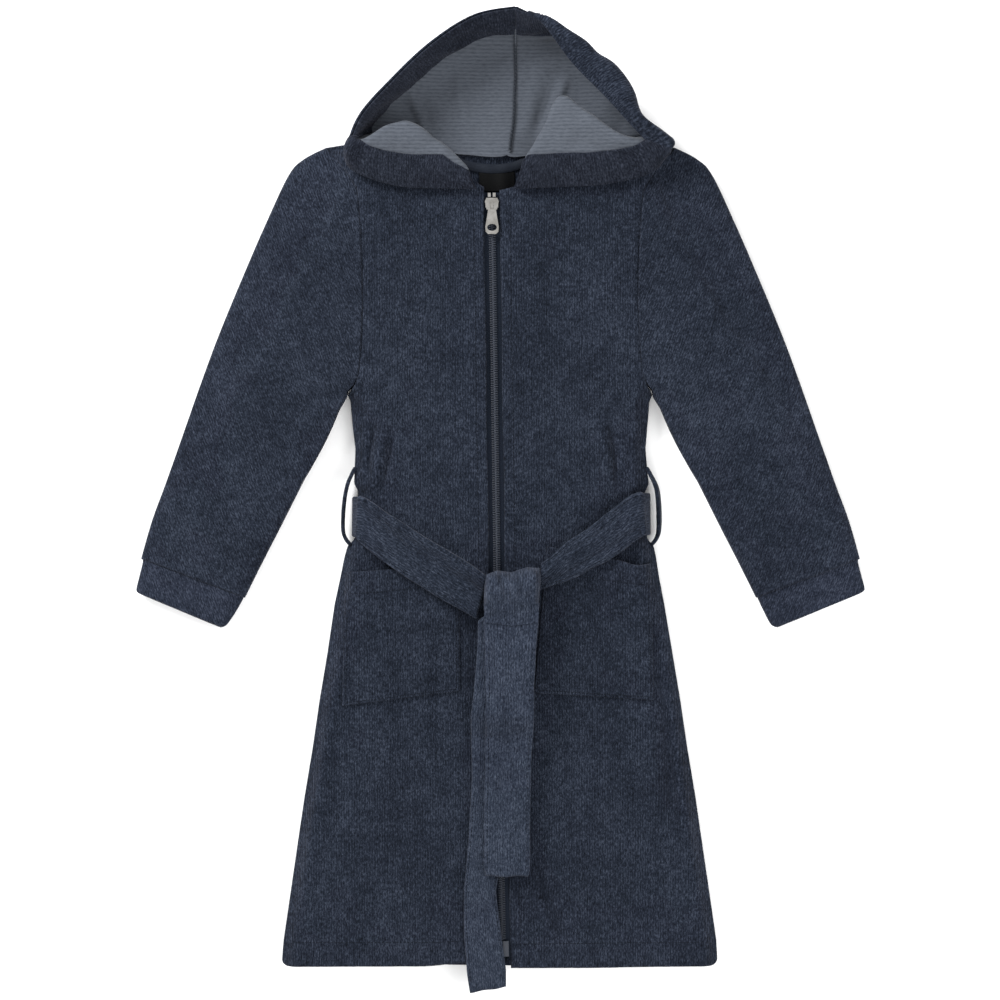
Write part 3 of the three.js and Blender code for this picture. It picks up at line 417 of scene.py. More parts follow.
BF_R = [[[-16.1, -62.2], [-20.0, -102.1]], [[-26.8, -54.9], [-36.1, -93.2]], [[-41.2, -45.2], [-54.0, -82.6]], [[-59.1, -34.5], [-68.4, -73.6]], [[-76.9, -23.9], [-82.9, -64.7]], [[-92.2, -13.7], [-99.0, -52.8]], [[-107.5, -3.5], [-115.2, -40.9]]]
BF_L = [[[39.5, -57.9], [36.1, -74.9]], [[48.9, -46.4], [45.9, -72.4]], [[58.2, -35.0], [55.7, -69.8]], [[68.4, -28.2], [67.1, -63.9]], [[78.6, -21.4], [78.6, -57.9]], [[89.3, -12.9], [93.1, -49.4]], [[99.9, -4.4], [107.5, -40.9]]]
POCK_R = [[-35.3, -52.0], [-34.4, -163.3], [-134.7, -176.1], [-131.3, -62.2]]
POCK_L = [[39.5, -40.1], [28.5, -165.0], [130.5, -171.0], [127.1, -53.7]]
OX, OY = -0.4, -1.4
ZTOP, ZBOT = 263 + OY, -388 + OY
def zip_x(y):
    return -7.1 + OX + (ZTOP - y) * 0.0141
_sy = np.array([r[0] for r in SIDE]); _sr = np.array([r[1] for r in SIDE]); _sl = np.array([r[2] for r in SIDE])
def edge_r(y): return np.interp(y, _sy, _sr)
def edge_l(y): return np.interp(y, _sy, _sl)
def waist(y):
    """How far the belt draws each side seam in, where it passes round it."""
    y = np.asarray(y, float)
    return 4.3 * smooth((y + 41) / 8) * (1 - smooth((y - 4) / 10))
def side_r(y): return edge_r(y) + waist(y)
def side_l(y): return edge_l(y) - waist(y)

w_big, w_mid, w_small = Waves(3, 120), Waves(5, 46, stretch=(1, 1.8)), Waves(8, 17)
# folds of the front: points, height, half width, taper
FRONT_FOLDS = [
    ([(-105.8, 73.8), (-110.9, 34.7), (-113.5, -0.1)], -3.0, 3.4, 0.4),
    ([(-97.3, 77.2), (-103.3, 36.4), (-107.5, -2.7)], 2.3, 4.8, 0.4),
    ([(-88.0, 68.7), (-96.5, 29.6), (-103.3, -5.2)], -2.8, 3.5, 0.4),
    ([(-85.4, 50.0), (-90.5, 16.0), (-93.9, -7.8)], 1.0, 6, 0.3),
    ([(91.4, 77.2), (96.5, 36.4), (100.7, -0.1)], -2.9, 3.5, 0.4),
    ([(83.7, 75.5), (88.8, 34.7), (93.1, -2.7)], 2.0, 5.2, 0.4),
    ([(105.8, 67.0), (109.2, 34.7), (112.6, 5.8)], -1.2, 4.5, 0.45),
    ([(-131.3, -52.0), (-138.1, -120.0), (-144.9, -171.0)], -1.6, 5, 0.3),
    ([(-144.9, -86.0), (-132.2, -120.0), (-126.2, -162.5)], 1.2, 6, 0.3),
    ([(-139.8, -96.2), (-126.2, -143.8), (-122.8, -200.7)], -1.8, 4.5, 0.3),
    ([(128.8, -77.5), (133.9, -128.5), (142.4, -196.5), (149.2, -298.5)], -3.4, 6, 0.25),
    ([(141.5, -86.0), (147.5, -154.0), (159.4, -256.0), (167.0, -341.0)], 1.8, 10, 0.25),
    ([(119.4, -175.2), (128.8, -230.5), (135.6, -307.0)], 1.9, 9, 0.3),
    ([(70.1, -86.0), (79.5, -120.0), (87.1, -162.5)], -0.0, 4, 0.3),
    ([(25.1, -298.5), (37.8, -334.2), (48.9, -362.2), (55.7, -390.3)], -2.4, 4.5, 0.25),
    ([(14.9, -298.5), (25.9, -341.0), (37.8, -375.0), (44.6, -395.4)], 2.0, 7, 0.25),
    ([(71.8, -188.0), (76.1, -256.0), (84.6, -341.0)], 0.9, 16, 0.3),
    ([(-85.4, -196.5), (-92.2, -273.0), (-102.4, -366.5)], -0.9, 14, 0.3),
    ([(-59.9, -188.0), (-61.6, -256.0), (-67.6, -341.0), (-72.7, -393.7)], 1.0, 12, 0.3),
    ([(-117.7, -205.0), (-127.9, -290.0), (-140.7, -375.0)], 0.9, 14, 0.3),
    ([(-132.2, -94.5), (-144.9, -188.0), (-163.6, -307.0), (-173.8, -383.5)], 0.9, 9, 0.25),
    ([(-110.9, 84.0), (-117.7, 67.0), (-122.8, 50.0)], -1.6, 5, 0.3),
    ([(-126.2, 85.7), (-109.2, 60.2), (-92.2, 44.9)], -1.3, 5, 0.3),
    ([(125.4, 85.7), (110.1, 62.8), (94.8, 50.0)], -1.3, 5, 0.3),
    ([(-109.2, 254.0), (-89.7, 203.0), (-85.4, 143.5)], 0.7, 12, 0.3),
    ([(108.4, 254.0), (94.8, 211.5), (91.4, 143.5)], 0.7, 12, 0.3),
    ([(-25.9, 241.3), (-27.6, 169.0), (-29.3, 67.0), (-25.9, -18.0)], 0.6, 12, 0.2),
    ([(23.4, 237.0), (27.6, 152.0), (25.9, 67.0), (23.4, -18.0)], 0.7, 12, 0.2),
    ([(12.3, -120.0), (16.6, -222.0), (13.2, -341.0)], 0.6, 10, 0.2),
]
BACK_FOLDS = [
    ([(-60, -120), (-66, -250), (-80, -380)], 0.8, 16, 0.2),
    ([(50, -90), (58, -240), (66, -390)], 0.8, 18, 0.2),
]
def roll(x, y, width=14.0):
    d = np.minimum(np.abs(x - side_r(y)), np.abs(x - side_l(y)))
    return (1 - smooth(d / width)) * (1 - smooth((y - 88) / 8))

def front_z(x, y, edge=True):
    """Middle of the front cloth."""
    calm = smooth((252 - y) / 30) * (1 - 0.75 * np.exp(-((x - zip_x(y)) / 14) ** 2))
    z = 19.4 + calm * (0.55 * w_big(x, y) + 0.32 * w_mid(x, y) + 0.12 * w_small(x, y))
    z = z + 1.35 * folds(x, y, FRONT_FOLDS)
    # the belt draws the waist in, and the cloth stands up a little each side of it; here the height is only held
    # between 15.4 and 24 mm
    z = np.clip(z, 15.4, 24.0)
    # under the belt's hanging ends the cloth lies low, so that they pass over it
    low = smooth((x + 98) / 14) * (1 - smooth((x - 56) / 12)) * smooth((-102 - y) / 14)
    z = z - 1.8 * low
    cap = lerp(25.5, 19.2, low)
    z = cap - 0.5 * np.logaddexp(0.0, (cap - z) / 0.5)*1.0
    if edge:
        z = lerp(z, 10.5 + 0.0 * z, roll(x, y))
        # shallow valley along the armhole seam
        da = np.minimum(np.abs(x - side_r(y)), np.abs(x - side_l(y)))
        z = z - 1.7 * np.exp(-(da / 3.2) ** 2) * smooth((y - 92) / 8)
        top = smooth((np.abs(x) - 60) / 10) * (1 - smooth((298 - y) / 12))
        z = lerp(z, 10.5, top)
    return z

def back_z(x, y):
    rise = np.where(y < -13, smooth((y + 59.4) / 17), smooth((32.6 - y) / 17)) * 3.9
    z = 1.72 + rise + np.abs(0.12 * w_mid(x, y))
    z = lerp(z, 6.8, roll(x, y))
    top = smooth((np.abs(x) - 60) / 10) * (1 - smooth((298 - y) / 12))
    return lerp(z, 6.8, top)

def neckline(x, front):
    a = np.abs(x)
    if front:
        return np.interp(a, [0, 12, 16, 30, 49, 60, 68, 114, 133, 149], [262.5, 265, 265.5, 274, 285.5, 292, 298, 298, 301.8, 299.2])
    return np.interp(a, [0, 46, 68, 114, 133, 149], [295.4, 295.4, 298, 298, 301.8, 299.2])

# ---------------------------------------------------------------- body panels
def panel(name, xa, xb, zf, front, T, mats, under, nu, nv, hem_lift=None):
    us = samples(nu, 180 if front else 370, T * 0.5)
    vs = samples(nv, 690, T * 0.5)
    P = np.zeros((len(vs), len(us), 3))
    for j, u in enumerate(us):
        y0 = -397 + OY
        x_top = lerp(xa(298.0), xb(298.0), u)
        top = neckline(x_top, front)
        y = lerp(y0, top, vs)
        # rounded hem corners
        xh = lerp(xa(y0), xb(y0), u)
        e = min(abs(xh - side_r(y0)), abs(xh - side_l(y0)))
        cr = 6.5 - math.sqrt(max(6.5 ** 2 - max(6.5 - e, 0) ** 2, 0.0))
        y = y + (cr - 0.8 * math.sin(xh * 0.021 + 1)) * (1 - smooth((y - y0) / 30))
        x = lerp(xa(y), xb(y), u)
        P[:, j, 0] = x
        P[:, j, 1] = y
        P[:, j, 2] = zf(x, y)
    if hem_lift is not None:
        P = hem_lift(P)
    UV = P[..., :2].copy()
    return sheet_mesh(name, P, T, UV, mats, under=under), P

def front_edge(side):
    return lambda y: zip_x(y) + side * (6.8 + 0.3 * np.sin(np.asarray(y) * 0.045 + side) - 0.1 * smooth((np.asarray(y) - 235) / 25))

def seam_lip(P, col, side):
    """The front edge folds under: it is a little thicker and rolls down to the tape. Here the points are returned
    unchanged.
    """
    return P

def lift_right(P):
    # the loose corner of the front lifts off the back just beside the zip
    x, y = P[..., 0], P[..., 1]
    k = np.exp(-((x - (-25.9)) / 26) ** 2) * smooth((-300 - y) / 90)
    P[..., 2] += 3.2 * k
    P[..., 1] += 4.5 * np.exp(-((x - (-27.6)) / 24) ** 2) * smooth((-360 - y) / 35)
    return P

T_BODY = 3.3
back, P_back = panel("robe_back", side_r, side_l, back_z, False, 3.2, [NAVY], 0, 120, 230)
fr, P_fr = panel("robe_front_right", side_r, front_edge(-1), front_z, True, T_BODY, [NAVY], 0, 84, 320, lift_right)
fl, P_fl = panel("robe_front_left", side_l, front_edge(1), front_z, True, T_BODY, [NAVY], 0, 84, 320)
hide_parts("back_panel", "back_skirt", "back_side_left", "back_side_right")
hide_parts("front_panel_right", "front_side_right")
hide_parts("front_panel_left", "front_side_left")
SHEETS = []
def flat_area(P):
    a = np.linalg.norm(np.cross(P[1:, :-1] - P[:-1, :-1], P[:-1, 1:] - P[:-1, :-1]), axis=2) / 2
    b = np.linalg.norm(np.cross(P[1:, :-1] - P[1:, 1:], P[:-1, 1:] - P[1:, 1:]), axis=2) / 2
    return float(a.sum() + b.sum())
def cut_area(xa, xb):
    """Area of a body panel's flat outline, from its edges, in square mm."""
    ys = np.linspace(-397.0 + OY, 297.0, 400)
    return float(np.abs(xb(ys) - xa(ys)).mean() * (ys[-1] - ys[0]))
def declare(ob, P, w, l, rests, held="laid", cut=None):
    """w and l are what the cloth was cut to, in mm; cut is its flat area where it isn't a rectangle."""
    SHEETS.append((ob, (w * MM, l * MM), None if cut is None else cut * 1e-6, held, rests))
for ob in (back, fr, fl):
    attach(ob, "torso")
declare(back, P_back, 372, 696, ["robe_floor"], cut=cut_area(edge_r, edge_l))
declare(fr, P_fr, 180, 696, ["robe_back"], cut=cut_area(edge_r, front_edge(-1)))
declare(fl, P_fl, 190, 696, ["robe_back"], cut=cut_area(edge_l, front_edge(1)))

# ---------------------------------------------------------------- sleeves and cuffs
def ring_xy(o, i, t, bulge, side):
    x = lerp(o[0], i[0], t); y = lerp(o[1], i[1], t)
    if bulge > 0:
        edge = (side_r if side < 0 else side_l)(np.clip(y, 88.5, 297)) - side * 1.0
        x = lerp(x, edge, bulge * np.minimum(1, np.where(t < 0.5, 60, 12) * np.minimum(t, 1 - t)))
    return x, y

ANGLE = math.radians(20)
def sleeve_mesh(name, tab, side, mat, h0, h1, wall, rings, around, fold_list, seed, cuff=False):
    tab = np.asarray(tab, float)
    if not cuff:
        # the shoulder is round from the top of the armhole
        tab = np.concatenate([tab[:1], (tab[:1] + tab[1:2]) / 2, tab[1:]])
        tab[0, 0] = [float(side_r(298) if side < 0 else side_l(298)) - side * 1.2, 299.4]
        tab[1, 0] = [side * 167.2, 289.9]
        tab[2, 0] = [side * 180.6, 276.0]
    s = np.linspace(0, 1, rings)
    if not cuff:
        s = np.concatenate([[0, 0.002, 0.006, 0.012], np.linspace(0.018, 0.985, rings), [0.99, 0.995, 0.998, 1]])
    else:
        s = np.concatenate([[0, 0.02, 0.06], np.linspace(0.1, 0.93, rings), [0.96, 0.985, 1]])
    C = catmull(tab, s)
    bl = np.interp(s * (len(tab) - 1), range(len(tab)), [1, 0.9, 0.8, 0.6, 0.45, 0.3, 0.18, 0.08, 0.03, 0, 0][:len(tab)]) if not cuff else np.zeros(len(s))
    m = around
    # around the ring: top from outer to inner edge, then back underneath
    a = np.arange(m) / m * 2 * math.pi
    t = 0.5 - 0.5 * np.cos(a)
    t = np.where(True, 0.5 - 0.5 * np.sign(np.cos(a)) * np.abs(np.cos(a)) ** 0.8, t)
    sg = np.where(a <= math.pi, 1.0, -1.0)
    wv1, wv2 = Waves(seed, 70), Waves(seed + 1, 26, stretch=(1.4, 1))
    O = np.zeros((len(s), m, 3)); I = O.copy(); UV = np.zeros((len(s), m, 2))
    length = np.concatenate([[0], np.cumsum(np.linalg.norm(np.diff(C.mean(axis=1), axis=0), axis=1))])
    for k in range(len(s)):
        o, i = C[k]
        w = np.linalg.norm(o - i)
        h = lerp(h0, h1, s[k])
        prof = np.clip(1 - np.abs(2 * t - 1) ** 4, 0, 1) ** 0.25
        x, y = ring_xy(o, i, t, bl[k], side)
        x = np.asarray(x); y = np.asarray(y)
        zc = h
        z = zc + sg * h * prof
        edge_d = np.minimum(t, 1 - t) * w
        top = (sg > 0) * smooth(edge_d / 9)
        f = folds(x, y, fold_list)
        z = z + top * np.clip(f + 0.5 * wv1(x, y) + 0.3 * wv2(x, y), -4.2, 2.2)
        if not cuff:
            # sewn down at the armhole, rolled over the cuff at the wrist
            z = z - top * 2.0 * math.exp(-(length[k] / 3.4) ** 2)
            dl = length[-1] - length[k]
            z = z - sg * smooth(edge_d / 6) * 1.5 * (1 - math.sqrt(max(0.0, 1 - (1 - min(dl / 2.2, 1)) ** 2)))
            z = z - top * 0.8 * math.exp(-((dl - 5.5) / 1.6) ** 2)
        else:
            dl = length[-1] - length[k]
            z = z - sg * smooth(edge_d / 6) * 1.2 * (1 - math.sqrt(max(0.0, 1 - (1 - min(dl / 1.8, 1)) ** 2)))
        O[k, :, 0] = x; O[k, :, 1] = y; O[k, :, 2] = z
        # inner skin
        ti = lerp(wall / w, 1 - wall / w, t)
        xi, yi = ring_xy(o, i, ti, bl[k], side)
        zi = z - sg * wall * np.maximum(prof, 0.0)
        zi = zc + (zi - zc) * np.clip((h - wall) / h, 0, 1) ** 0.0
        I[k, :, 0] = xi; I[k, :, 1] = yi; I[k, :, 2] = zi
        # the grain runs along the arm
        UV[k, :, 0] = x * math.cos(ANGLE) - side * y * math.sin(ANGLE)
        UV[k, :, 1] = side * x * math.sin(ANGLE) + y * math.cos(ANGLE)
    zmin = O[..., 2].min(axis=1, keepdims=True)
    O[..., 2] -= zmin - 0.02; I[..., 2] -= zmin - 0.02
    # keep the far side of the wall inside the near one
    ob = tube_mesh(name, O, I, UV, [mat])
    mid = (O + I) / 2
    return ob, np.concatenate([mid, mid[:, :1]], axis=1), float(2 * np.linalg.norm(C[:, 0] - C[:, 1], axis=1).mean() + 20), float(length[-1])

FOLDS_R = [
    ([(-126.2, 87.4), (-149.2, 84.0), (-170.4, 88.3)], -2.2, 5, 0.35),
    ([(-127.9, 96.8), (-155.1, 107.8), (-183.2, 111.2)], 1.4, 8, 0.35),
    ([(-136.4, 77.2), (-161.9, 62.8), (-180.6, 58.5)], 1.2, 7, 0.35),
    ([(-132.2, 279.5), (-138.1, 245.5), (-140.7, 203.0)], 1.0, 9, 0.3),
    ([(-170.4, 254.0), (-178.9, 203.0), (-183.2, 152.0)], 0.8, 14, 0.3),
    ([(-197.6, 169.0), (-217.2, 101.0), (-234.2, 50.0)], 0.9, 12, 0.3),
    ([(-242.7, 58.5), (-212.9, 33.0), (-183.2, 16.0)], -1.0, 8, 0.35),
    ([(-258.8, 24.5), (-228.2, -1.0), (-202.7, -18.0)], 0.9, 8, 0.35),
    ([(-285.2, -18.0), (-255.4, -35.0), (-221.4, -52.0)], -0.6, 8, 0.35),
    ([(-228.2, 135.0), (-202.7, 124.8), (-178.9, 126.5)], -0.7, 9, 0.35),
]
FOLDS_L = [
    ([(127.1, 87.4), (148.3, 82.3), (169.6, 85.7)], -2.2, 5, 0.35),
    ([(128.8, 97.6), (156.8, 106.1), (179.8, 109.5)], 1.4, 8, 0.35),
    ([(135.6, 75.5), (161.1, 60.2), (179.8, 56.8)], 1.2, 7, 0.35),
    ([(131.3, 275.3), (137.3, 241.3), (139.0, 201.3)], 1.0, 9, 0.3),
    ([(171.3, 249.8), (179.8, 201.3), (183.2, 147.8)], 0.8, 14, 0.3),
    ([(199.3, 169.0), (217.2, 102.7), (234.2, 50.0)], 0.9, 12, 0.3),
    ([(241.8, 56.8), (212.1, 31.3), (184.9, 16.0)], -1.0, 8, 0.35),
    ([(258.0, 21.1), (227.4, -2.7), (203.6, -19.7)], 0.9, 8, 0.35),
    ([(283.5, -19.7), (254.6, -36.7), (222.3, -53.7)], -0.6, 8, 0.35),
    ([(225.7, 133.3), (201.9, 123.1), (179.8, 124.8)], -0.7, 9, 0.35),
]
for nm, tab, side, fl_, seed, cf, node in (("right", SL_R, -1, FOLDS_R, 21, CF_R, "arm_right"), ("left", SL_L, 1, FOLDS_L, 31, CF_L, "arm_left")):
    ob, mid, circ, ln = sleeve_mesh("robe_sleeve_" + nm, tab, side, SLEEVE, 10.6, 9.4, 3.2, 150, 120, fl_, seed)
    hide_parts("sleeve_" + nm)
    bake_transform(ob)
    declare(ob, mid, circ, ln, ["robe_floor"])
    cf = [[list(lerp(np.array(tab[-1][0]), np.array(tab[-1][1]), 0.012)), list(lerp(np.array(tab[-1][0]), np.array(tab[-1][1]), 0.988))]] + [list(map(list, q)) for q in cf]
    cb, mid, circ, ln = sleeve_mesh("robe_cuff_" + nm, cf, side, CUFF, 8.4, 7.6, 2.6, 22, 96, [], seed + 7, cuff=True)
    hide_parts("cuff_" + nm)
    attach(cb, node)
    declare(cb, mid, circ, ln, ["robe_floor"])

# ---------------------------------------------------------------- hood
# rows of control points from the rim, down the inside wall, along the floor, to the neck or centre seam
HOOD_R = [
    [(-20.0, 263.4, 24.9), (-22.5, 267.6, 28), (-25.1, 272.7, 30), (-26.8, 277.8, 30), (-28.5, 280.8, 28.5), (-29.3, 281.2, 26.6), (-29.3, 279.9, 25), (-28.5, 278.7, 24.3)],
    [(-51.4, 263.8, 25), (-51.4, 272.7, 29.5), (-50.6, 283.8, 31.8), (-49.7, 293.1, 32.5), (-48.0, 298.7, 30.5), (-46.3, 297.8, 27), (-44.6, 294.8, 24.8), (-43.8, 293.1, 24.2)],
    [(-83.7, 265.1, 25.2), (-84.6, 275.3, 30), (-84.6, 288.0, 33), (-82.9, 305.0, 36.5), (-81.2, 318.6, 35), (-76.1, 315.2, 29), (-64.2, 304.2, 24.8), (-54.0, 296.5, 22.5)],
    [(-116.0, 274.4, 25.6), (-117.7, 282.9, 31), (-116.9, 292.3, 35), (-114.3, 299.9, 37.5), (-110.9, 305.9, 36), (-100.7, 305.0, 27), (-79.5, 300.8, 17), (-53.1, 296.1, 10)],
    [(-130.5, 288.0, 27.5), (-131.3, 294.0, 33), (-129.6, 299.9, 37), (-124.5, 305.0, 35), (-116.0, 307.6, 22), (-96.5, 307.6, 8.5), (-68.4, 303.3, 5.4), (-45.5, 295.7, 6.6)],
    [(-123.7, 321.2, 41), (-120.3, 320.3, 34), (-115.2, 320.3, 23), (-107.5, 319.5, 12.5), (-97.3, 316.9, 6), (-81.2, 312.7, 4.6), (-55.7, 303.3, 4.8), (-30.2, 293.6, 6.6)],
    [(-94.8, 357.7, 43), (-90.5, 356.0, 35), (-84.6, 353.5, 24), (-77.8, 350.1, 13.5), (-68.4, 343.3, 6.4), (-51.4, 330.5, 4.4), (-25.9, 311.0, 4.6), (6.4, 293.6, 6.4)],
    [(-60.8, 389.2, 45), (-57.4, 385.8, 37), (-53.1, 381.5, 26), (-47.2, 375.6, 15), (-38.7, 366.2, 7), (-25.9, 351.8, 4.6), (-8.9, 334.8, 4.2), (11.6, 318.6, 4.4)],
    [(-24.2, 413.0, 45), (-22.5, 407.0, 38), (-20.8, 400.2, 28), (-17.4, 392.6, 17), (-13.2, 383.2, 8.5), (-7.2, 371.3, 5), (1.3, 356.0, 4.2), (12.0, 339.0, 4.2)],
    [(13.0, 416.5, 45), (13.0, 410.4, 39), (13.0, 402.8, 30), (13.0, 395.1, 20), (13.0, 387.5, 10.5), (13.0, 379.8, 6), (13.0, 371.3, 4.6), (13.0, 359.4, 4.2)],
]
HOOD_L = [
    [(10.6, 263.8, 24.9), (13.2, 268.5, 28), (15.7, 274.4, 30), (18.3, 281.2, 30.4), (21.7, 289.3, 29), (21.7, 288.0, 27), (21.7, 284.6, 25.2), (20.8, 281.2, 24.3)],
    [(29.3, 264.0, 25), (29.3, 272.7, 29.2), (29.3, 282.1, 31.6), (30.2, 294.0, 32.8), (33.6, 306.7, 32), (34.4, 300.8, 27.4), (34.4, 294.8, 24.8), (33.6, 289.7, 24.2)],
    [(50.6, 265.1, 25.1), (49.7, 274.4, 29.8), (48.9, 288.0, 32.8), (48.0, 313.5, 36), (50.6, 339.0, 36), (48.9, 328.8, 29), (46.3, 306.7, 24.6), (43.8, 294.0, 22.8)],
    [(88.8, 267.2, 25.4), (87.1, 277.8, 30.4), (84.6, 289.7, 34), (79.5, 306.7, 38), (76.1, 323.7, 38.5), (75.2, 316.1, 31), (67.6, 304.2, 24.5), (55.7, 296.5, 20)],
    [(127.1, 277.0, 27), (125.4, 286.3, 33), (121.1, 294.0, 37), (113.5, 300.8, 39.5), (105.0, 305.9, 37), (90.5, 303.3, 27), (72.7, 299.1, 17), (53.1, 296.1, 11)],
    [(134.7, 291.4, 30), (145.8, 297.8, 37), (149.6, 301.2, 33), (142.4, 305.9, 24), (122.8, 308.4, 12), (93.1, 306.7, 7.4), (67.6, 299.9, 6.2), (46.3, 295.7, 6.8)],
    [(116.9, 316.1, 42), (123.7, 321.6, 48), (127.1, 321.2, 41), (124.5, 316.1, 26), (115.2, 312.7, 12.5), (88.8, 307.6, 6.6), (59.1, 299.9, 5.4), (30.2, 293.6, 6.6)],
    [(90.5, 339.9, 44), (99.9, 348.4, 50), (108.8, 351.8, 45), (107.5, 345.0, 30), (99.0, 337.3, 14.5), (76.1, 328.8, 6.8), (42.1, 310.1, 4.8), (5.1, 293.6, 6.4)],
    [(62.5, 369.6, 45), (72.7, 378.1, 50), (80.8, 379.4, 45), (81.2, 372.2, 30), (76.1, 365.4, 14.5), (62.5, 355.2, 6.6), (38.7, 337.3, 4.6), (10.6, 318.6, 4.4)],
    [(36.1, 405.3, 44), (39.5, 408.3, 48), (43.8, 403.2, 42), (49.7, 394.3, 28), (46.3, 387.5, 14.5), (39.5, 377.3, 6.4), (26.8, 358.6, 4.6), (11.5, 339.0, 4.2)],
    [(12.6, 416.5, 45), (12.6, 410.4, 39), (12.6, 402.8, 30), (12.6, 395.1, 20), (12.6, 387.5, 10.5), (12.6, 379.8, 6), (12.6, 371.3, 4.6), (12.6, 359.4, 4.2)],
]
FACE_W = 29.0
def draw_in(tab, by):
    """Moves the standing part of each row toward the middle of the hood by so many mm."""
    out = []
    for row, d in zip(tab, by):
        new = []
        for x, y, z in row:
            k = d * smooth((z - 9) / 24)
            vx, vy = 12.7 - x, 322.0 - y
            ln = math.hypot(vx, vy) or 1.0
            new.append((x + vx / ln * k, y + vy / ln * k, z))
        out.append(new)
    return out
HOOD_R = draw_in(HOOD_R, [0, 0, 0, 0.5, 1.5, 4.0, 5.8, 5.4, 6.0, 2.1])
HOOD_L = draw_in(HOOD_L, [0, 0, 0, 0, 0, 3.2, 7.6, 2.6, 3.2, 4.0, 2.1])
def hood_surface(tab, nu, nv, seed):
    P = catmull(np.asarray(tab), nu, 0)
    P = catmull(P, nv, 1)
    # even spacing from rim to seam, so that the cloth's grain isn't squeezed
    n, m, _ = P.shape
    s = arc(P, 1)
    out = P.copy()
    for i in range(n):
        q = np.linspace(0, 1, m)
        tot = s[i, -1]
        e = np.array([0, 0.2, 0.6, 1.2]) / tot
        q = np.concatenate([e, np.linspace(e[-1] + 1.2 / tot, 1 - 0.8 / tot, m - 6), [1 - 0.3 / tot, 1]])
        for c in range(3):
            out[i, :, c] = np.interp(q * tot, s[i], P[i, :, c])
    P = out
    P[..., 2] = np.maximum(P[..., 2], 3.6)
    N = normals(P)
    a, b = arc(P, 0), arc(P, 1)
    w1, w2 = Waves(seed, 48), Waves(seed + 1, 20)
    amp = (0.55 * w1(a, b) + 0.2 * w2(a, b)) * smooth(b / 20) * smooth((b[:, -1:] - b) / 18) * smooth((P[..., 2] - 3.4) / 9 + 0.35)
    amp = amp * smooth((np.minimum(a, a[-1:] - a)) / 14)
    P = P + N * np.clip(amp, -1.6, 1.6)[..., None]
    lip = smooth((292 + OY - P[..., 1]) / 14)
    P[..., 2] = np.where(P[..., 1] < 292, np.maximum(P[..., 2], lerp(3.6, 24.3, (P[..., 2] > 15) * lip)), P[..., 2])
    P[..., 2] = np.maximum(P[..., 2], 3.6)
    return P

CREASES_R = [([(-77.8, 360.3), (-74.4, 343.3), (-68.4, 326.3), (-59.9, 300.8)], 4.2, 3.4, 0.2),
             ([(-71.8, 362.8), (-67.6, 343.3), (-61.6, 323.7), (-53.1, 299.9)], -1.8, 3.6, 0.2),
             ([(-38.7, 367.9), (-34.4, 343.3), (-25.9, 311.8)], 2.0, 5, 0.25),
             ([(-19.1, 381.5), (-14.0, 347.5), (-3.8, 306.7)], -0.7, 5, 0.25)]
CREASES_L = [([(59.1, 367.9), (51.4, 347.5), (38.7, 313.5), (25.9, 298.2)], 3.4, 4.4, 0.3),
             ([(48.9, 371.3), (40.4, 342.4), (30.2, 313.5)], -1.6, 4.6, 0.2),
             ([(33.6, 381.5), (28.5, 347.5), (21.7, 306.7)], 0.9, 5, 0.25)]
HOODS = {}
for nm, tab, seed, cre in (("right", HOOD_R, 51, CREASES_R), ("left", HOOD_L, 61, CREASES_L)):
    P = hood_surface(tab, 150, 110, seed)
    low = P[..., 2] < 17
    P[..., 2] += np.clip(folds(P[..., 0], P[..., 1], cre), -1.0, 5.5) * smooth((17 - P[..., 2]) / 6) * low
    P[..., 2] = np.maximum(P[..., 2], 3.55)
    N = normals(P)
    flat_rows = P[..., 2] < 6
    s_in = np.sign(N[..., 2][(P[..., 2] < 6)].mean())
    HOODS[nm] = (P, N, s_in)
    a, b = arc(P, 0), arc(P, 1)
    UVo = np.stack([a[:, :1] * 0 + a[:, 40:41] + 0 * b, b], -1)
    UVf = np.stack([P[..., 0], P[..., 1] + 300], -1)
    hi, lo = (0.0, 1.0) if s_in > 0 else (1.0, 0.0)
    T = 2.3
    ob = sheet_mesh("hood_terry_" + nm, P, T, UVo, [NAVY], lo=lo, hi=hi)
    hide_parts("hood_" + nm)
    declare(ob, P, 175, float(b[:, -1].mean()), [])
    # turned-in edge: the same towelling folded to the inside and stitched down
    parts = [ob]
    def inner(j_of, name, mat, t0, t1, first, last, uv):
        n, m, _ = P.shape
        nj = 40 if last is not None else 90
        Q = np.zeros((n, nj, 3)); UV = np.zeros((n, nj, 2))
        for i in range(n):
            tot = b[i, -1]
            end = min(last, tot * 0.62) if last is not None else tot - 0.2
            st = min(first, tot * 0.55)
            q = st + (end - st) * samples(nj - 8, max(end - st, 5), 0.8)
            for c in range(3):
                Q[i, :, c] = np.interp(q, b[i], P[i, :, c])
            UV[i, :, 1] = q
            UV[i, :, 0] = a[i, 40]
        NQ = normals(Q) * s_in
        Q = Q + NQ * ((t0 + t1) / 2)
        if uv == "plan":
            UV = np.stack([Q[..., 0], Q[..., 1] + 300], -1)
        return sheet_mesh(name, Q, t1 - t0, UV, [mat]), Q
    fo, Qf = inner(None, "hood_facing_" + nm, FACING, 0.9, 2.7, 0.3, FACE_W, "arc")
    declare(fo, Qf, 300, FACE_W, [])
    lo_, Ql = inner(None, "hood_jersey_" + nm, GREY, 0.15, 0.95, 14.0, None, "plan")
    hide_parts("hood_lining_" + nm)
    declare(lo_, Ql, 160, float(b[:, -1].mean()) - 14, [])
    for o in (ob, fo, lo_):
        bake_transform(o)

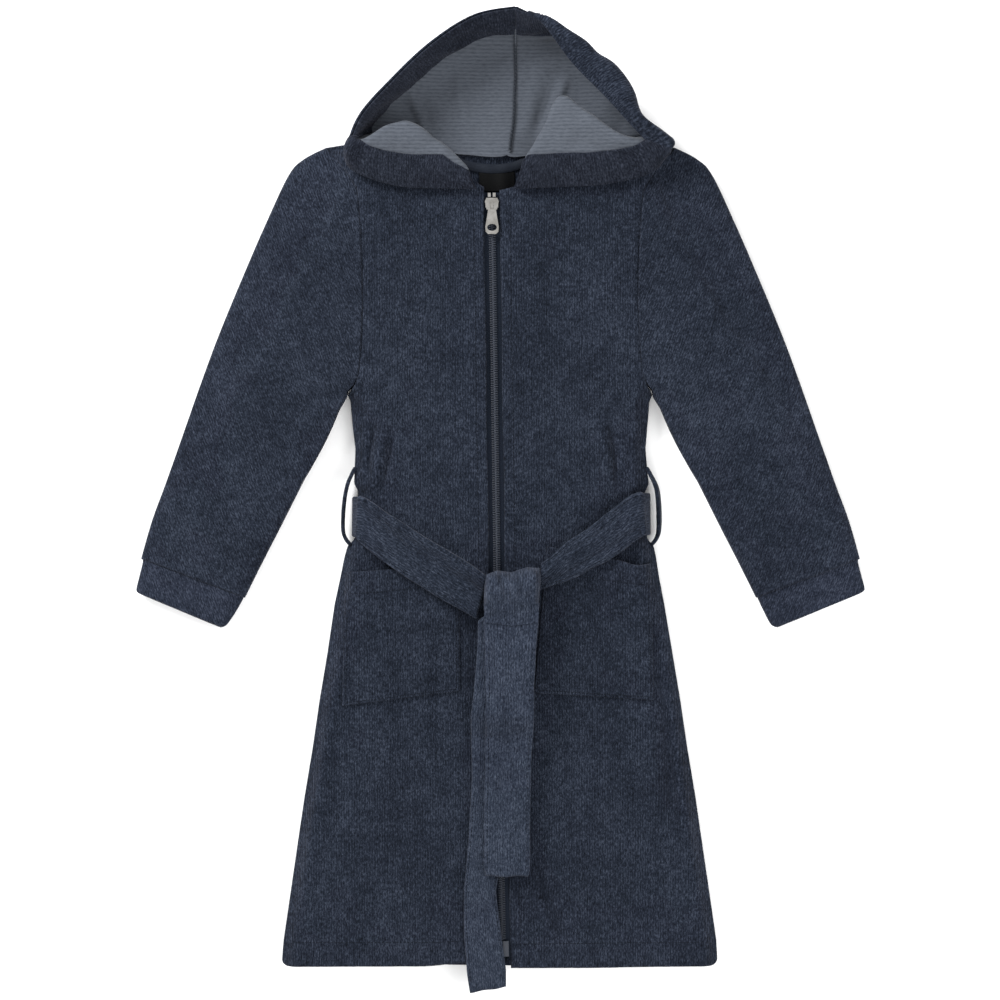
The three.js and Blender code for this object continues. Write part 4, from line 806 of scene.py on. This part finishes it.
# centre seam inside the hood: an overlocked ridge with thread over it
def rope(name, pts, r, mat, seg=8, lobes=0, amp=0.0, flat=1.0):
    pts = np.asarray(pts, float)
    n = len(pts)
    t = np.gradient(pts, axis=0)
    t /= np.linalg.norm(t, axis=1, keepdims=True)
    up = np.tile([0, 0, 1.0], (n, 1))
    s = np.cross(t, up); s /= np.maximum(np.linalg.norm(s, axis=1, keepdims=True), 1e-6)
    u = np.cross(s, t)
    al = np.concatenate([[0], np.cumsum(np.linalg.norm(np.diff(pts, axis=0), axis=1))])
    V, F, U = [], [], []
    for k in range(n):
        rr = r * (1 + amp * math.sin(al[k] * lobes))
        for q in range(seg):
            a = q / seg * 2 * math.pi
            V.append(pts[k] + s[k] * math.cos(a) * rr + u[k] * math.sin(a) * rr * flat)
            U.append((q / seg * 2 * math.pi * r, al[k]))
    for k in range(n - 1):
        for q in range(seg):
            a, b2 = k * seg + q, k * seg + (q + 1) % seg
            F.append((a, b2, b2 + seg, a + seg))
    F.append(tuple(range(seg))[::-1]); F.append(tuple((n - 1) * seg + q for q in range(seg)))
    return new_mesh(name, V, F, U, [mat])

def many(name, items, mat):
    """Joins many small closed shapes into one mesh. items are (verts, faces, uvs)."""
    V, F, U = [], [], []
    for v, f, u in items:
        o = len(V)
        V.extend(v); U.extend(u)
        F.extend([tuple(q + o for q in g) for g in f])
    return new_mesh(name, V, F, U, [mat])

def stitch_shape(p, q, up, r, seg=6):
    p, q, up = map(lambda z: np.asarray(z, float), (p, q, up))
    t = q - p; L = np.linalg.norm(t); t = t / max(L, 1e-6)
    s = np.cross(t, up); s /= max(np.linalg.norm(s), 1e-6); u = np.cross(s, t)
    V, U, F = [], [], []
    prof = [(0, 0.35, -0.5), (0.16, 0.85, 0.0), (0.5, 1.0, 0.25), (0.84, 0.85, 0.0), (1, 0.35, -0.5)]
    for a, k, h in prof:
        c = p + t * L * a + u * h * r
        for j in range(seg):
            g = j / seg * 2 * math.pi
            V.append(c + s * math.cos(g) * r * k + u * math.sin(g) * r * k * 0.8)
            U.append((j * 0.2, a * L))
    n = len(prof)
    for i in range(n - 1):
        for j in range(seg):
            x, y = i * seg + j, i * seg + (j + 1) % seg
            F.append((x, y, y + seg, x + seg))
    F.append(tuple(range(seg))[::-1]); F.append(tuple((n - 1) * seg + j for j in range(seg)))
    return V, F, U

def stitch_line(pts, length=2.5, gap=0.6, r=0.27, up=(0, 0, 1)):
    pts = np.asarray(pts, float)
    al = np.concatenate([[0], np.cumsum(np.linalg.norm(np.diff(pts, axis=0), axis=1))])
    out = []
    s = 0.5
    while s + length < al[-1]:
        a = [np.interp(s, al, pts[:, c]) for c in range(3)]
        b2 = [np.interp(s + length, al, pts[:, c]) for c in range(3)]
        out.append(stitch_shape(a, b2, up, r))
        s += length + gap
    return out

def on_grid(P, fi, j):
    return P[fi, j]

# neck tape and blank label
nt_line = catmull(np.array([[-44, 290.6], [-30, 285.4], [-17, 282.6], [-3, 282.0], [10, 283.6], [19, 287], [25, 290.4]]), 70)
d = np.gradient(nt_line, axis=0); d /= np.linalg.norm(d, axis=1, keepdims=True)
nrm = np.stack([-d[:, 1], d[:, 0]], -1)
wv = samples(14, 7.6, 0.5)
P = np.zeros((len(nt_line), len(wv), 3))
for j, q in enumerate(wv):
    P[:, j, :2] = nt_line + nrm * (q - 0.5) * 7.8
    P[:, j, 2] = 4.75 + 1.1 * (1 - (2 * q - 1) ** 2) + 0.25 * np.sin(nt_line[:, 0] * 0.4)
UV = np.stack([arc(P, 1), arc(P, 0)], -1)
tape = sheet_mesh("neck_tape_cloth", P, 1.1, UV, [NECK])
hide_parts("neck_tape"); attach(tape, "torso")
declare(tape, P, 7.8, 74, [])
lx = samples(26, 30.5, 0.45); ly = samples(20, 17.6, 0.45)
P = np.zeros((len(ly), len(lx), 3))
for i, q in enumerate(ly):
    P[i, :, 0] = -18.3 + 30.5 * lx
    P[i, :, 1] = 262.4 + 17.4 * q
    P[i, :, 2] = 4.5 + 1.2 * np.sin(lx * 3.0 + 0.4) * (1 - q) + 0.25 * np.sin(lx * 11)
P[..., 2] = np.maximum(P[..., 2], 4.2)
UV = P[..., :2].copy()
label = sheet_mesh("neck_label_satin", P, 0.8, UV, [LABEL])
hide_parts("neck_label"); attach(label, "torso")
declare(label, P, 30.5, 17.4, [])

# ---------------------------------------------------------------- pockets
def pocket(name, corners, node, gape):
    ti, bi, bo, to = [np.array(c, float) for c in corners]
    us = samples(70, 100, 1.3); vs = samples(90, 125, 1.3)
    w1, w2 = Waves(71 if gape else 81, 60), Waves(72, 22)
    P = np.zeros((len(vs), len(us), 3))
    for i, v in enumerate(vs):       # v: 0 at the top
        for j, u in enumerate(us):   # u: 0 at the inner side
            top = ti * (1 - u) + to * u; bot = bi * (1 - u) + bo * u
            x, y = top * (1 - v) + bot * v
            y -= 1.5 * math.sin(math.pi * u) * (1 - v)
            P[i, j, :2] = x, y
    x, y = P[..., 0], P[..., 1]
    U, Vv = np.meshgrid(us, vs)
    zf = front_z(x, y) + 1.65
    de = np.minimum(np.minimum(U, 1 - U) * 98, (1 - Vv) * 122)
    puff = smooth(de / 20)
    mouth = np.exp(-(Vv / 0.22) ** 2)
    z = zf + 1.3 + puff * (1.9 + 0.7 * w1(x, y) + 0.25 * w2(x, y)) + mouth * smooth(de / 14) * 1.2
    # double layer along the top hem
    z = z + 0.7 * (1 - smooth((Vv * 122 - 20) / 2.5)) * smooth(de / 3)
    z = z - 0.6 * np.exp(-((Vv * 122 - 20.5) / 1.2) ** 2) * smooth(de / 3)
    if gape:
        z = z + 2.2 * np.exp(-((U - 0.8) / 0.18) ** 2) * np.exp(-(Vv / 0.16) ** 2)
        P[..., 1] -= 3.5 * np.exp(-((U - 0.86) / 0.14) ** 2) * np.exp(-(Vv / 0.1) ** 2)
    z = np.minimum(z, 28.6)
    P[..., 2] = z
    UV = np.stack([x, y - 40], -1)
    ob = sheet_mesh(name, P, 2.6, UV, [NAVY])
    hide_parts(node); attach(ob, "torso")
    declare(ob, P, 100, 126, ["robe_front_right" if node.endswith("right") else "robe_front_left"])
    # stitches along the three sewn sides and the hem
    it = []
    up = (0, 0, 1)
    def line(idx):
        return np.array([P[i, j] + (0, 0, 1.42) for i, j in idx])
    jn = int(np.argmin(abs(us * 98 - 2.6))); jf = len(us) - 1 - jn
    ib = int(np.argmin(abs((1 - vs) * 122 - 2.6)))
    ih = int(np.argmin(abs(vs * 122 - 20.4)))
    it += stitch_line(line([(i, jn) for i in range(3, ib + 1)]))
    it += stitch_line(line([(i, jf) for i in range(3, ib + 1)]))
    it += stitch_line(line([(ib, j) for j in range(jn, jf + 1)]))
    it += stitch_line(line([(ih, j) for j in range(jn, jf + 1)]))
    return ob, it, P
pr, st1, _ = pocket("pocket_patch_right", POCK_R, "pocket_right", False)
pl, st2, _ = pocket("pocket_patch_left", POCK_L, "pocket_left", True)

# ---------------------------------------------------------------- belt
def strip_grid(stations, n_long, n_cross, T, per_cross=None):
    """stations: upper and lower edge points [x, y, z] along the run; returns the surface between them."""
    C = catmull(np.asarray(stations, float), n_long)
    t = samples(n_cross, 42, T * 0.5)
    P = C[:, None, 0] * (1 - t[None, :, None]) + C[:, None, 1] * t[None, :, None]
    return P, t

wb1, wb2 = Waves(91, 34), Waves(92, 13)
EY_T, EY_B = 5.5, -34.5
def belt_run(name, side, stations, prof, node):
    P, t = strip_grid(stations, 190, 54, 3.9)
    s = np.linspace(0, 1, len(P))[:, None]
    flat_part = smooth((np.arange(len(P))[:, None] / len(P) - 4.6 / (len(stations) - 1)) / 0.07)
    dz = prof(s, t[None, :], P) + 0.35 * wb1(P[..., 0], P[..., 1]) + 0.16 * wb2(P[..., 0], P[..., 1])
    e = smooth(np.minimum(t, 1 - t) / 0.07)[None, :]
    P[..., 2] += flat_part * dz * (0.25 + 0.75 * e) - flat_part * (1 - e) * 0.5
    P[..., 2] = np.maximum(P[..., 2], 31.2 * flat_part)
    a0, a1 = arc(P, 0), arc(P, 1)
    UV = np.stack([a1 + 0 * a0, a0[:, 20:21] + 0 * a1], -1)
    ob = sheet_mesh(name, P, 3.9, UV, [BELT])
    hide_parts(node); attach(ob, "torso")
    declare(ob, P, 44, float(a0[-1].mean()), [], held="stretched")
    return ob, P

def prof_r(s, t, P):
    # a narrow lit ridge along the top edge, a lengthwise groove that deepens to the knot, then the main face
    ridge = 1.3 * np.exp(-((t - 0.09) / 0.07) ** 2)
    groove = -2.3 * np.exp(-((t - (0.27 + 0.05 * s)) / 0.09) ** 2) * smooth((s - 0.38) / 0.25)
    face = 1.0 * np.exp(-((t - 0.62) / 0.25) ** 2)
    tuck = -1.4 * np.exp(-((s - 0.36) / 0.035) ** 2) * np.exp(-((t - 0.5) / 0.3) ** 2)
    return ridge + groove + face + tuck
def prof_l(s, t, P):
    face = 1.6 * np.exp(-((t - 0.36) / 0.24) ** 2)
    low = -2.6 * smooth((t - 0.58) / 0.3)
    crease = -1.2 * np.exp(-((t - (0.2 + 0.1 * s)) / 0.06) ** 2) * smooth((s - 0.45) / 0.2)
    return face + low + crease

def wrap(side):
    e = side_r if side < 0 else side_l
    out = []
    for z, o in ((2.6, 2.05), (7.4, 2.1), (13.0, 2.15), (20.0, 0.8), (26.5, -2.2)):
        yt, yb = (EY_T - 3.5, EY_B + 2.0) if side < 0 else (EY_T - 0.5, EY_B + 3.5)
        out.append([[e(-14) + side * o, yt, z], [e(-14) + side * (o + 0.4), yb, z]])
    return out
ST_R = wrap(-1) + [[[*(-117.7, 2.4), 31.0], [*(-121.1, -34.5), 31.0]],
    [[*(-107.5, -3.5), 32.6], [*(-112.6, -42.6), 32.6]], [[*(-92.2, -14.2), 32.6], [*(-98.2, -53.7), 32.6]], [[*(-76.9, -23.9), 32.7], [*(-82.9, -64.7), 32.7]],
    [[*(-59.1, -35.0), 32.8], [*(-67.6, -74.1), 32.8]], [[*(-41.2, -45.2), 33], [*(-51.4, -84.3), 33]], [[*(-25.9, -54.9), 33.4], [*(-34.4, -93.6), 33.4]], [[*(-10.6, -65.6), 34], [*(-20.4, -101.7), 34]]]
ST_L = wrap(1) + [[[*(116.9, 5.8), 31.0], [*(121.5, -30.7), 31.0]],
    [[*(107.5, 1.6), 32.6], [*(112.6, -36.7), 32.6]], [[*(99.9, -4.4), 32.6], [*(105.0, -43.0), 32.6]], [[*(88.8, -12.9), 32.7], [*(93.1, -51.1), 32.7]],
    [[*(78.6, -21.4), 32.8], [*(79.5, -57.9), 32.8]], [[*(67.6, -29.0), 33], [*(66.7, -64.7), 33]], [[*(58.2, -35.0), 33.2], [*(55.7, -69.8), 33.2]], [[*(47.2, -45.2), 33.6], [*(43.8, -73.2), 33.6]], [[*(34.4, -54.5), 34], [*(31.9, -76.6), 34]]]
belt_r, P_br = belt_run("belt_run_right", -1, ST_R, prof_r, "belt_front_right")
belt_l, P_bl = belt_run("belt_run_left", 1, ST_L, prof_l, "belt_front_left")

# the run behind the back, flat on the floor
us, vs = samples(150, 264, 1.5), samples(24, 41, 1.5)
P = np.zeros((len(us), len(vs), 3))
P[..., 0] = lerp(side_r(-14) + 0.1, side_l(-14) - 0.1, us)[:, None]
P[..., 1] = (-33.4 + 41.0 * vs)[None, :]
P[..., 2] = 1.66 + np.abs(0.05 * wb1(P[..., 0], P[..., 1]))
bb = sheet_mesh("belt_run_back", P, 2.9, np.stack([P[..., 1], P[..., 0]], -1), [BELT])
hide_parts("belt_back"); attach(bb, "torso")
declare(bb, P, 41.2, 264, ["robe_floor"], held="laid")

# tails
PVX, PVY = 10 + OX, -94 + OY
def tail(name, tab, z_top, z_low, T, node, seed, scallop, creases):
    tab = np.asarray(tab, float) + 0.0
    ys = tab[1:, :, 1].mean(axis=1)[::-1]; xa = tab[1:, 0, 0][::-1] ; xb = tab[1:, 1, 0][::-1]
    y_end = ys[0]
    n_top, n_low = 26, 260
    yy = np.concatenate([PVY + 20.0 * np.sin(np.radians(np.linspace(86, 6, n_top))), np.linspace(PVY, y_end, n_low)])
    t = samples(44, 42, T * 0.5)
    P = np.zeros((len(yy), len(t), 3))
    k = np.ones(9) / 9
    for i, y in enumerate(yy):
        if y > PVY + 0.5:
            h = math.sqrt(max(20.0 ** 2 - (y - PVY) ** 2, 0.6))
            l, r = PVX - h, PVX + h
        else:
            q = smooth((PVY - y) / 9)
            l = lerp(PVX - 20.0, np.interp(y, ys, xa), q); r = lerp(PVX + 20.0, np.interp(y, ys, xb), q)
        P[i, :, 0] = lerp(l, r, t)
        P[i, :, 1] = y
    s = np.clip((PVY - P[..., 1]) / (PVY - y_end), 0, 1)
    w1, w2 = Waves(seed, 30, stretch=(1, 2)), Waves(seed + 1, 11)
    P[..., 1] += scallop * np.sin(t[None, :] * 9.5 + seed) * smooth((s - 0.94) / 0.06)
    if name.endswith("back"):
        P[..., 1] += (t[None, :] - 0.5) * 5.0 * smooth((s - 0.9) / 0.1)
    free = smooth((PVY - 16 - P[..., 1]) / 16)
    z = lerp(z_top, z_low, smooth((-178 + OY - P[..., 1]) / 26))
    bow = 0.5 - 1.5 * np.abs(2 * t[None, :] - 1) ** 4
    calm = 0.6 if name.endswith("back") else 1.0
    z = z + free * calm * (0.5 * w1(P[..., 0], P[..., 1]) + 0.22 * w2(P[..., 0], P[..., 1]) + bow * 0.5)
    z = z + free * folds(P[..., 0], P[..., 1], creases)
    P[..., 2] = z
    UV = np.stack([(t[None, :] - 0.5) * 42 + 0 * P[..., 0], P[..., 1]], -1)
    # the tails' towelling is the belt's own colour painted lighter: painted light
    ob = sheet_mesh(name, P, T, UV, [TAILS_WITH_PAINTED_LIGHT])
    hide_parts(node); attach(ob, "tail_front" if name.endswith("front") else "tail_back")
    declare(ob, P, 42, float(abs(y_end - PVY)) + 20, [], held="laid")
    return ob, P, t
CR_F = [([(-9.8, -77.5), (-7.2, -120.0), (-3.0, -162.5)], -0.8, 3.2, 0.3), ([(25.9, -82.6), (22.5, -120.0), (23.4, -162.5)], 0.6, 3.6, 0.3),
        ([(8.1, -171.0), (10.6, -239.0), (7.2, -307.0)], 0.55, 5, 0.3), ([(-3.0, -188.0), (-1.3, -247.5), (-3.8, -298.5)], -0.5, 3.4, 0.3)]
CR_B = [([(-17.4, -188.0), (-14.0, -228.8), (-19.1, -268.7)], -0.5, 3.0, 0.3), ([(-25.9, -200.7), (-22.5, -247.5), (-25.9, -298.5)], 0.5, 4.0, 0.3),
        ([(-19.1, -324.0), (-14.9, -362.2), (-17.4, -396.2)], 0.6, 5, 0.3)]
tf, P_tf, t_tf = tail("belt_tail_cloth_front", TAIL_F, 42.6, 30.6, 4.3, "belt_tail_front", 101, 0.5, CR_F)
tb, P_tb, t_tb = tail("belt_tail_cloth_back", TAIL_B, 33.4, 24.9, 3.9, "belt_tail_back", 111, 0.4, CR_B)

# the knot: the belt's end folded up over the crossing and down again
n_u, n_v = 110, 110
us, vs = samples(n_u, 50, 2.0), samples(n_v, 50, 2.0)
KT = np.zeros((len(vs), len(us), 3)); KB = KT.copy()
for i, v in enumerate(vs):
    for j, u in enumerate(us):
        # top edge dips in its middle, sides are a little drawn in
        yt = np.interp(u, [0, 0.2, 0.45, 0.75, 1], [-64, -60.6, -62.2, -57.8, -58.6])
        yb = np.interp(u, [0, 0.5, 1], [-104.2, -106.8, -104.4])
        y = lerp(yt, yb, v)
        xl_ = np.interp(v, [0, 0.25, 0.6, 1], [-12.0, -13.8, -14.2, -13.4])
        xr_ = np.interp(v, [0, 0.2, 0.5, 1], [33.6, 34.4, 33.0, 31.6])
        x = lerp(xl_, xr_, u)
        KT[i, j, :2] = x, y; KB[i, j, :2] = x, y
x, y = KT[..., 0], KT[..., 1]
U, Vv = np.meshgrid(us, vs)
wk1, wk2 = Waves(121, 22), Waves(122, 9)
side_d = np.minimum(U, 1 - U) * 47; top_d = Vv * 46; bot_d = (1 - Vv) * 46
crown = 50.2 + 2.6 * np.exp(-((Vv - 0.34) / 0.3) ** 2) - 4.9 * smooth((Vv - 0.45) / 0.5)
crown = crown + 0.5 * wk1(x, y) + 0.25 * wk2(x, y)
KCR = [([(-0.4, -60.5), (3.8, -72.4), (6.4, -87.7)], -3.0, 3.4, 0.0), ([(11.5, -59.6), (11.5, -75.8), (9.8, -91.1)], 1.6, 3.2, 0.25),
       ([(22.5, -58.8), (20.0, -72.4), (15.7, -86.0)], -2.0, 2.8, 0.2), ([(34.4, -74.9), (26.8, -79.2), (19.1, -85.1)], -1.8, 2.2, 0.25),
       ([(34.4, -82.6), (27.6, -88.5), (22.5, -96.2)], 1.0, 2.6, 0.25), ([(-12.3, -79.2), (-5.5, -84.3), (1.3, -92.8)], -1.2, 2.4, 0.25)]
crown = crown + folds(x, y, KCR)
def quarter(d, r):
    return np.sqrt(np.clip(1 - (1 - np.clip(d / r, 0, 1)) ** 2, 0, 1))
dip = 1 - 0.55 * np.exp(-((U - 0.47) / 0.17) ** 2) * np.exp(-(top_d / 7) ** 2)
low_side = lerp(31.4, 44.9, smooth((Vv - 0.58) / 0.1))
edge = quarter(side_d, 5.5) * quarter(top_d, 8.5) * lerp(1, quarter(bot_d, 1.2), smooth((Vv - 0.6) / 0.2)) * dip
KT[..., 2] = lerp(low_side + 0.8, crown, edge)
dist = np.hypot(x - PVX, y - PVY)
hollow = np.where(y > PVY + 6, 1 - smooth((dist - 21.6) / 1.6), 1.0)
hollow = np.where((y <= PVY + 6) & (y > PVY + 4), 1.0, hollow)
KB[..., 2] = lerp(31.2, 45.05, hollow)
KB[..., 2] = np.maximum(KB[..., 2], np.where(Vv > 0.64, 45.05, 31.2))
KB[..., 2] = np.minimum(KB[..., 2], KT[..., 2] - 0.35)
KT[..., 2] = np.minimum(KT[..., 2], 54.6)
nn, mm = U.shape
it_ = np.arange(nn * mm).reshape(nn, mm); ib_ = it_ + nn * mm
ring = [(0, j) for j in range(mm)] + [(i, mm - 1) for i in range(1, nn)] + [(nn - 1, j) for j in range(mm - 2, -1, -1)] + [(i, 0) for i in range(nn - 2, 0, -1)]
F = [(it_[i, j], it_[i + 1, j], it_[i + 1, j + 1], it_[i, j + 1]) for i in range(nn - 1) for j in range(mm - 1)]
F += [(ib_[i, j], ib_[i, j + 1], ib_[i + 1, j + 1], ib_[i + 1, j]) for i in range(nn - 1) for j in range(mm - 1)]
F += [(it_[a], it_[b2], ib_[b2], ib_[a]) for a, b2 in zip(ring, ring[1:] + ring[:1])]
# the knot takes the tails' towelling, painted lighter than the belt runs: painted light
knot = new_mesh("belt_knot_cloth", np.concatenate([KT.reshape(-1, 3), KB.reshape(-1, 3)]), F, np.concatenate([np.stack([x, y], -1).reshape(-1, 2)] * 2), [TAILS_WITH_PAINTED_LIGHT])
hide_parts("belt_knot"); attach(knot, "torso")

# loops on the side seams
for nm, side in (("right", -1), ("left", 1)):
    e = edge_r if side < 0 else edge_l
    line = catmull(np.array([[27.0, -1.2], [21.5, 2.0], [12.6, 5.6], [2.6, 7.3], [-9.4, 7.8], [-19.4, 7.4], [-28.4, 6.0], [-35.0, 3.2], [-39.6, -1.0]]), 90)
    t = samples(14, 9.4, 1.3)
    P = np.zeros((len(line), len(t), 3))
    tilt = 2.6 if side > 0 else 0.9
    for i, (y, o) in enumerate(line):
        ex = e(min(20, max(-30, y)))
        mid_k = math.sin(math.pi * i / (len(line) - 1))
        P[i, :, 0] = ex + side * (o + tilt * (0.35 - t) * mid_k * 1.0)
        P[i, :, 1] = y
        P[i, :, 2] = 5.9 + 9.1 * t
    a0 = arc(P, 0)
    ob = sheet_mesh("belt_loop_cloth_" + nm, P, 3.3, np.stack([arc(P, 1), a0], -1), [NAVY])
    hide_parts("belt_loop_" + nm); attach(ob, "torso")
    declare(ob, P, 10.0, float(a0[-1].mean()), [])

# ---------------------------------------------------------------- zip
for nm, side in (("right", -1), ("left", 1)):
    vs, us = samples(300, 650, 0.5), samples(26, 13.6, 0.5)
    P = np.zeros((len(vs), len(us), 3))
    yv = lerp(ZBOT, ZTOP - 1, vs)
    for j, u in enumerate(us):
        d = 0.34 + 13.56 * u
        P[:, j, 0] = zip_x(yv) + side * d
        P[:, j, 1] = yv
        P[:, j, 2] = 16.85 + 0.18 * smooth((u - 0.8) / 0.2) * np.sin(yv * 0.11) - 0.05
    if side < 0:
        P = P[:, ::-1]
    UV = P[..., :2].copy()
    ob = sheet_mesh("zip_tape_woven_" + nm, P, 1.1, UV, [TAPE])
    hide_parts("zip_tape_" + nm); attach(ob, "torso")
    declare(ob, P, 14, 652, [])
    it = []
    y0, y1 = ZBOT + 14.6, ZTOP - 6.2
    k = 0
    y = y0 + (0.75 if side > 0 else 0.0)
    while y < y1:
        xx = zip_x(y)
        it.append(stitch_shape((xx - side * 0.95, y, 18.95), (xx + side * 3.25, y + 0.1, 18.95), (0, 0, 1), 0.34, seg=8))
        y += 1.5
    ob = many("zip_coil_teeth_" + nm, it, COIL)
    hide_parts("zip_coil_" + nm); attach(ob, "torso")
    ys = np.linspace(y0, y1, 240)
    cord_pts = np.stack([zip_x(ys) + side * 2.35, ys, np.full_like(ys, 18.25)], -1)
    core = rope("zip_coil_core_" + nm, cord_pts, 0.42, THREAD)
    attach(core, "torso")
for n, m_ in (("zip_slider", NICKEL), ("zip_pull_tab", NICKEL), ("zip_top_stop_left", NICKEL), ("zip_top_stop_right", NICKEL), ("zip_retainer_box", COIL), ("zip_insertion_pin", COIL)):
    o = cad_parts[n]
    o.data.materials.clear(); o.data.materials.append(m_)

# ---------------------------------------------------------------- stitching
def grid_pt(P, i, j, up):
    return P[i, j] + np.array([0, 0, up])
def along_x(P, x_of_y, y0, y1, up, n=420):
    """Points on a panel's top side at given x for each y."""
    pts = []
    for y in np.linspace(y0, y1, n):
        xx = x_of_y(y)
        pts.append((xx, y, float(front_z(np.array([xx]), np.array([y]))[0]) + up))
    return np.array(pts)
STS = {}
for nm, side, P_, pocket in (("right", -1, P_fr, st1), ("left", 1, P_fl, st2)):
    items = stitch_line(along_x(None, lambda y, s=side: zip_x(y) + s * 15.4, -390, 252, T_BODY / 2 + 0.06))
    i = int(np.argmin(abs(P_[:, 30, 1] + 377.0)))
    items += stitch_line(np.array([grid_pt(P_, i, j, T_BODY / 2 + 0.06) for j in range(4, P_.shape[1] - 4)]))
    STS[nm] = many("top_stitching_" + nm, items + pocket, THREAD)
    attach(STS[nm], "torso")

# belt's own stitch lines, 3 mm in from both edges
def strip_stitch(P, t, inset_mm, width, up, i0, i1):
    out = []
    for q in (inset_mm / width, 1 - inset_mm / width):
        j = int(np.argmin(abs(t - q)))
        out += stitch_line(np.array([P[i, j] + np.array([0, 0, up]) for i in range(i0, i1)]), r=0.24)
    return out
t_run = samples(54, 42, 1.95)
sr = many("belt_stitching", strip_stitch(P_br, t_run, 3.2, 42, 2.0, 66, 188) + strip_stitch(P_bl, t_run, 3.2, 42, 2.0, 66, 188), THREAD)
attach(sr, "torso")
a = many("belt_tail_stitching_front", strip_stitch(P_tf, t_tf, 3.2, 42, 2.2, 60, len(P_tf) - 6), THREAD)
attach(a, "tail_front")
b_ = many("belt_tail_stitching_back", strip_stitch(P_tb, t_tb, 3.2, 42, 2.0, 150, len(P_tb) - 6), THREAD)
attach(b_, "tail_back")

# ---------------------------------------------------------------- centre seam of the hood's lining
Ph = HOODS["right"][0]
Pl = HOODS["left"][0]
wall = [(Ph[-1, j] + Pl[-1, j]) / 2 + np.array([0, -1.6, 1.6]) for j in range(34, Ph.shape[1], 3)]
rows = int(Ph.shape[0] * 6.2 / 9)
foot = [(Ph[i, -1] + Pl[int(round(i / (Ph.shape[0] - 1) * (Pl.shape[0] - 1))), -1]) / 2 + np.array([0, 0, 1.9]) for i in range(Ph.shape[0] - 2, rows, -4)]
seam = np.array(wall + foot)
for _ in range(3):
    seam[1:-1] = (seam[:-2] + 2 * seam[1:-1] + seam[2:]) / 4
al = np.concatenate([[0], np.cumsum(np.linalg.norm(np.diff(seam, axis=0), axis=1))])
q = np.linspace(0, al[-1], 200)
seam = np.stack([np.interp(q, al, seam[:, c]) for c in range(3)], -1)
seam[:, 2] = np.maximum(seam[:, 2], 5.0)
sr_ = rope("hood_centre_seam", seam, 1.15, GREY, seg=10, flat=0.8)
it = []
d_ = np.gradient(seam, axis=0); d_ /= np.linalg.norm(d_, axis=1, keepdims=True)
sd_ = np.cross(d_, [0, 0, 1.0]); sd_ /= np.linalg.norm(sd_, axis=1, keepdims=True)
for k in range(2, len(seam) - 2, 2):
    c = seam[k] + np.array([0, 0.0, 0.95])
    it.append(stitch_shape(c - sd_[k] * 1.25 - d_[k] * 0.5, c + sd_[k] * 1.25 + d_[k] * 0.5, (0, 0, 1), 0.3))
ss = many("hood_overlock", it, THREAD)
for o in (sr_, ss):
    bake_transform(o)

# ---------------------------------------------------------------- floor
bpy.ops.mesh.primitive_plane_add(size=14, location=(0, 0, -0.0003))
floor = bpy.context.object
floor.name = "robe_floor"
fm, fnt, fb = material("paper_white", 0.85)
fn = noise_tex(fnt, fnt.nodes.new("ShaderNodeTexCoord").outputs["Object"], 30, 3.0, 0.6)
fnt.links.new(ramp(fnt, fn, [(0.3, (0.90, 0.90, 0.90)), (0.7, (0.925, 0.925, 0.925))]), fb.inputs["Base Color"])
floor.data.materials.append(fm)
floor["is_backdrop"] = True

# ---------------------------------------------------------------- soft pieces
for ob, flat, area, held, rests in SHEETS:
    if min(flat) < 0.0095:
        continue

# ---------------------------------------------------------------- light and camera
world = bpy.data.worlds.new("soft")
bpy.context.scene.world = world
world.use_nodes = True
world.node_tree.nodes["Background"].inputs[0].default_value = (1, 1, 1, 1)
world.node_tree.nodes["Background"].inputs[1].default_value = 0.9

def area_light(name, loc, size, power, aim=(0, 0, 0)):
    ld = bpy.data.lights.new(name, "AREA")
    ld.shape = "RECTANGLE"; ld.size = size; ld.size_y = size; ld.energy = power
    ob = bpy.data.objects.new(name, ld)
    bpy.context.scene.collection.objects.link(ob)
    ob.location = loc
    from mathutils import Vector
    ob.rotation_euler = (Vector(aim) - Vector(loc)).to_track_quat("-Z", "Y").to_euler()
    ob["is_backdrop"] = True
    return ob
area_light("key", (-1.4, 1.5, 1.15), 0.8, 90)
area_light("fill", (1.7, -0.4, 2.0), 1.6, 36)
area_light("front", (0.1, -1.8, 2.0), 1.4, 28)

cam_d = bpy.data.cameras.new("camera")
cam_d.sensor_width = 36
cam_d.lens = 116.5
cam = bpy.data.objects.new("camera", cam_d)
bpy.context.scene.collection.objects.link(cam)
cam.location = (-0.0004, -0.001, 2.77)
cam.rotation_euler = (0, 0, 0)
bpy.context.scene.camera = cam

bpy.context.scene.view_settings.view_transform = "Standard"

END_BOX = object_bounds()
def plain(v):
    return [float(q) for q in v] if not hasattr(v[0], "__len__") else [[float(q) for q in r] for r in v]
{"cad": plain(CAD_BOX), "visual": plain(END_BOX)}
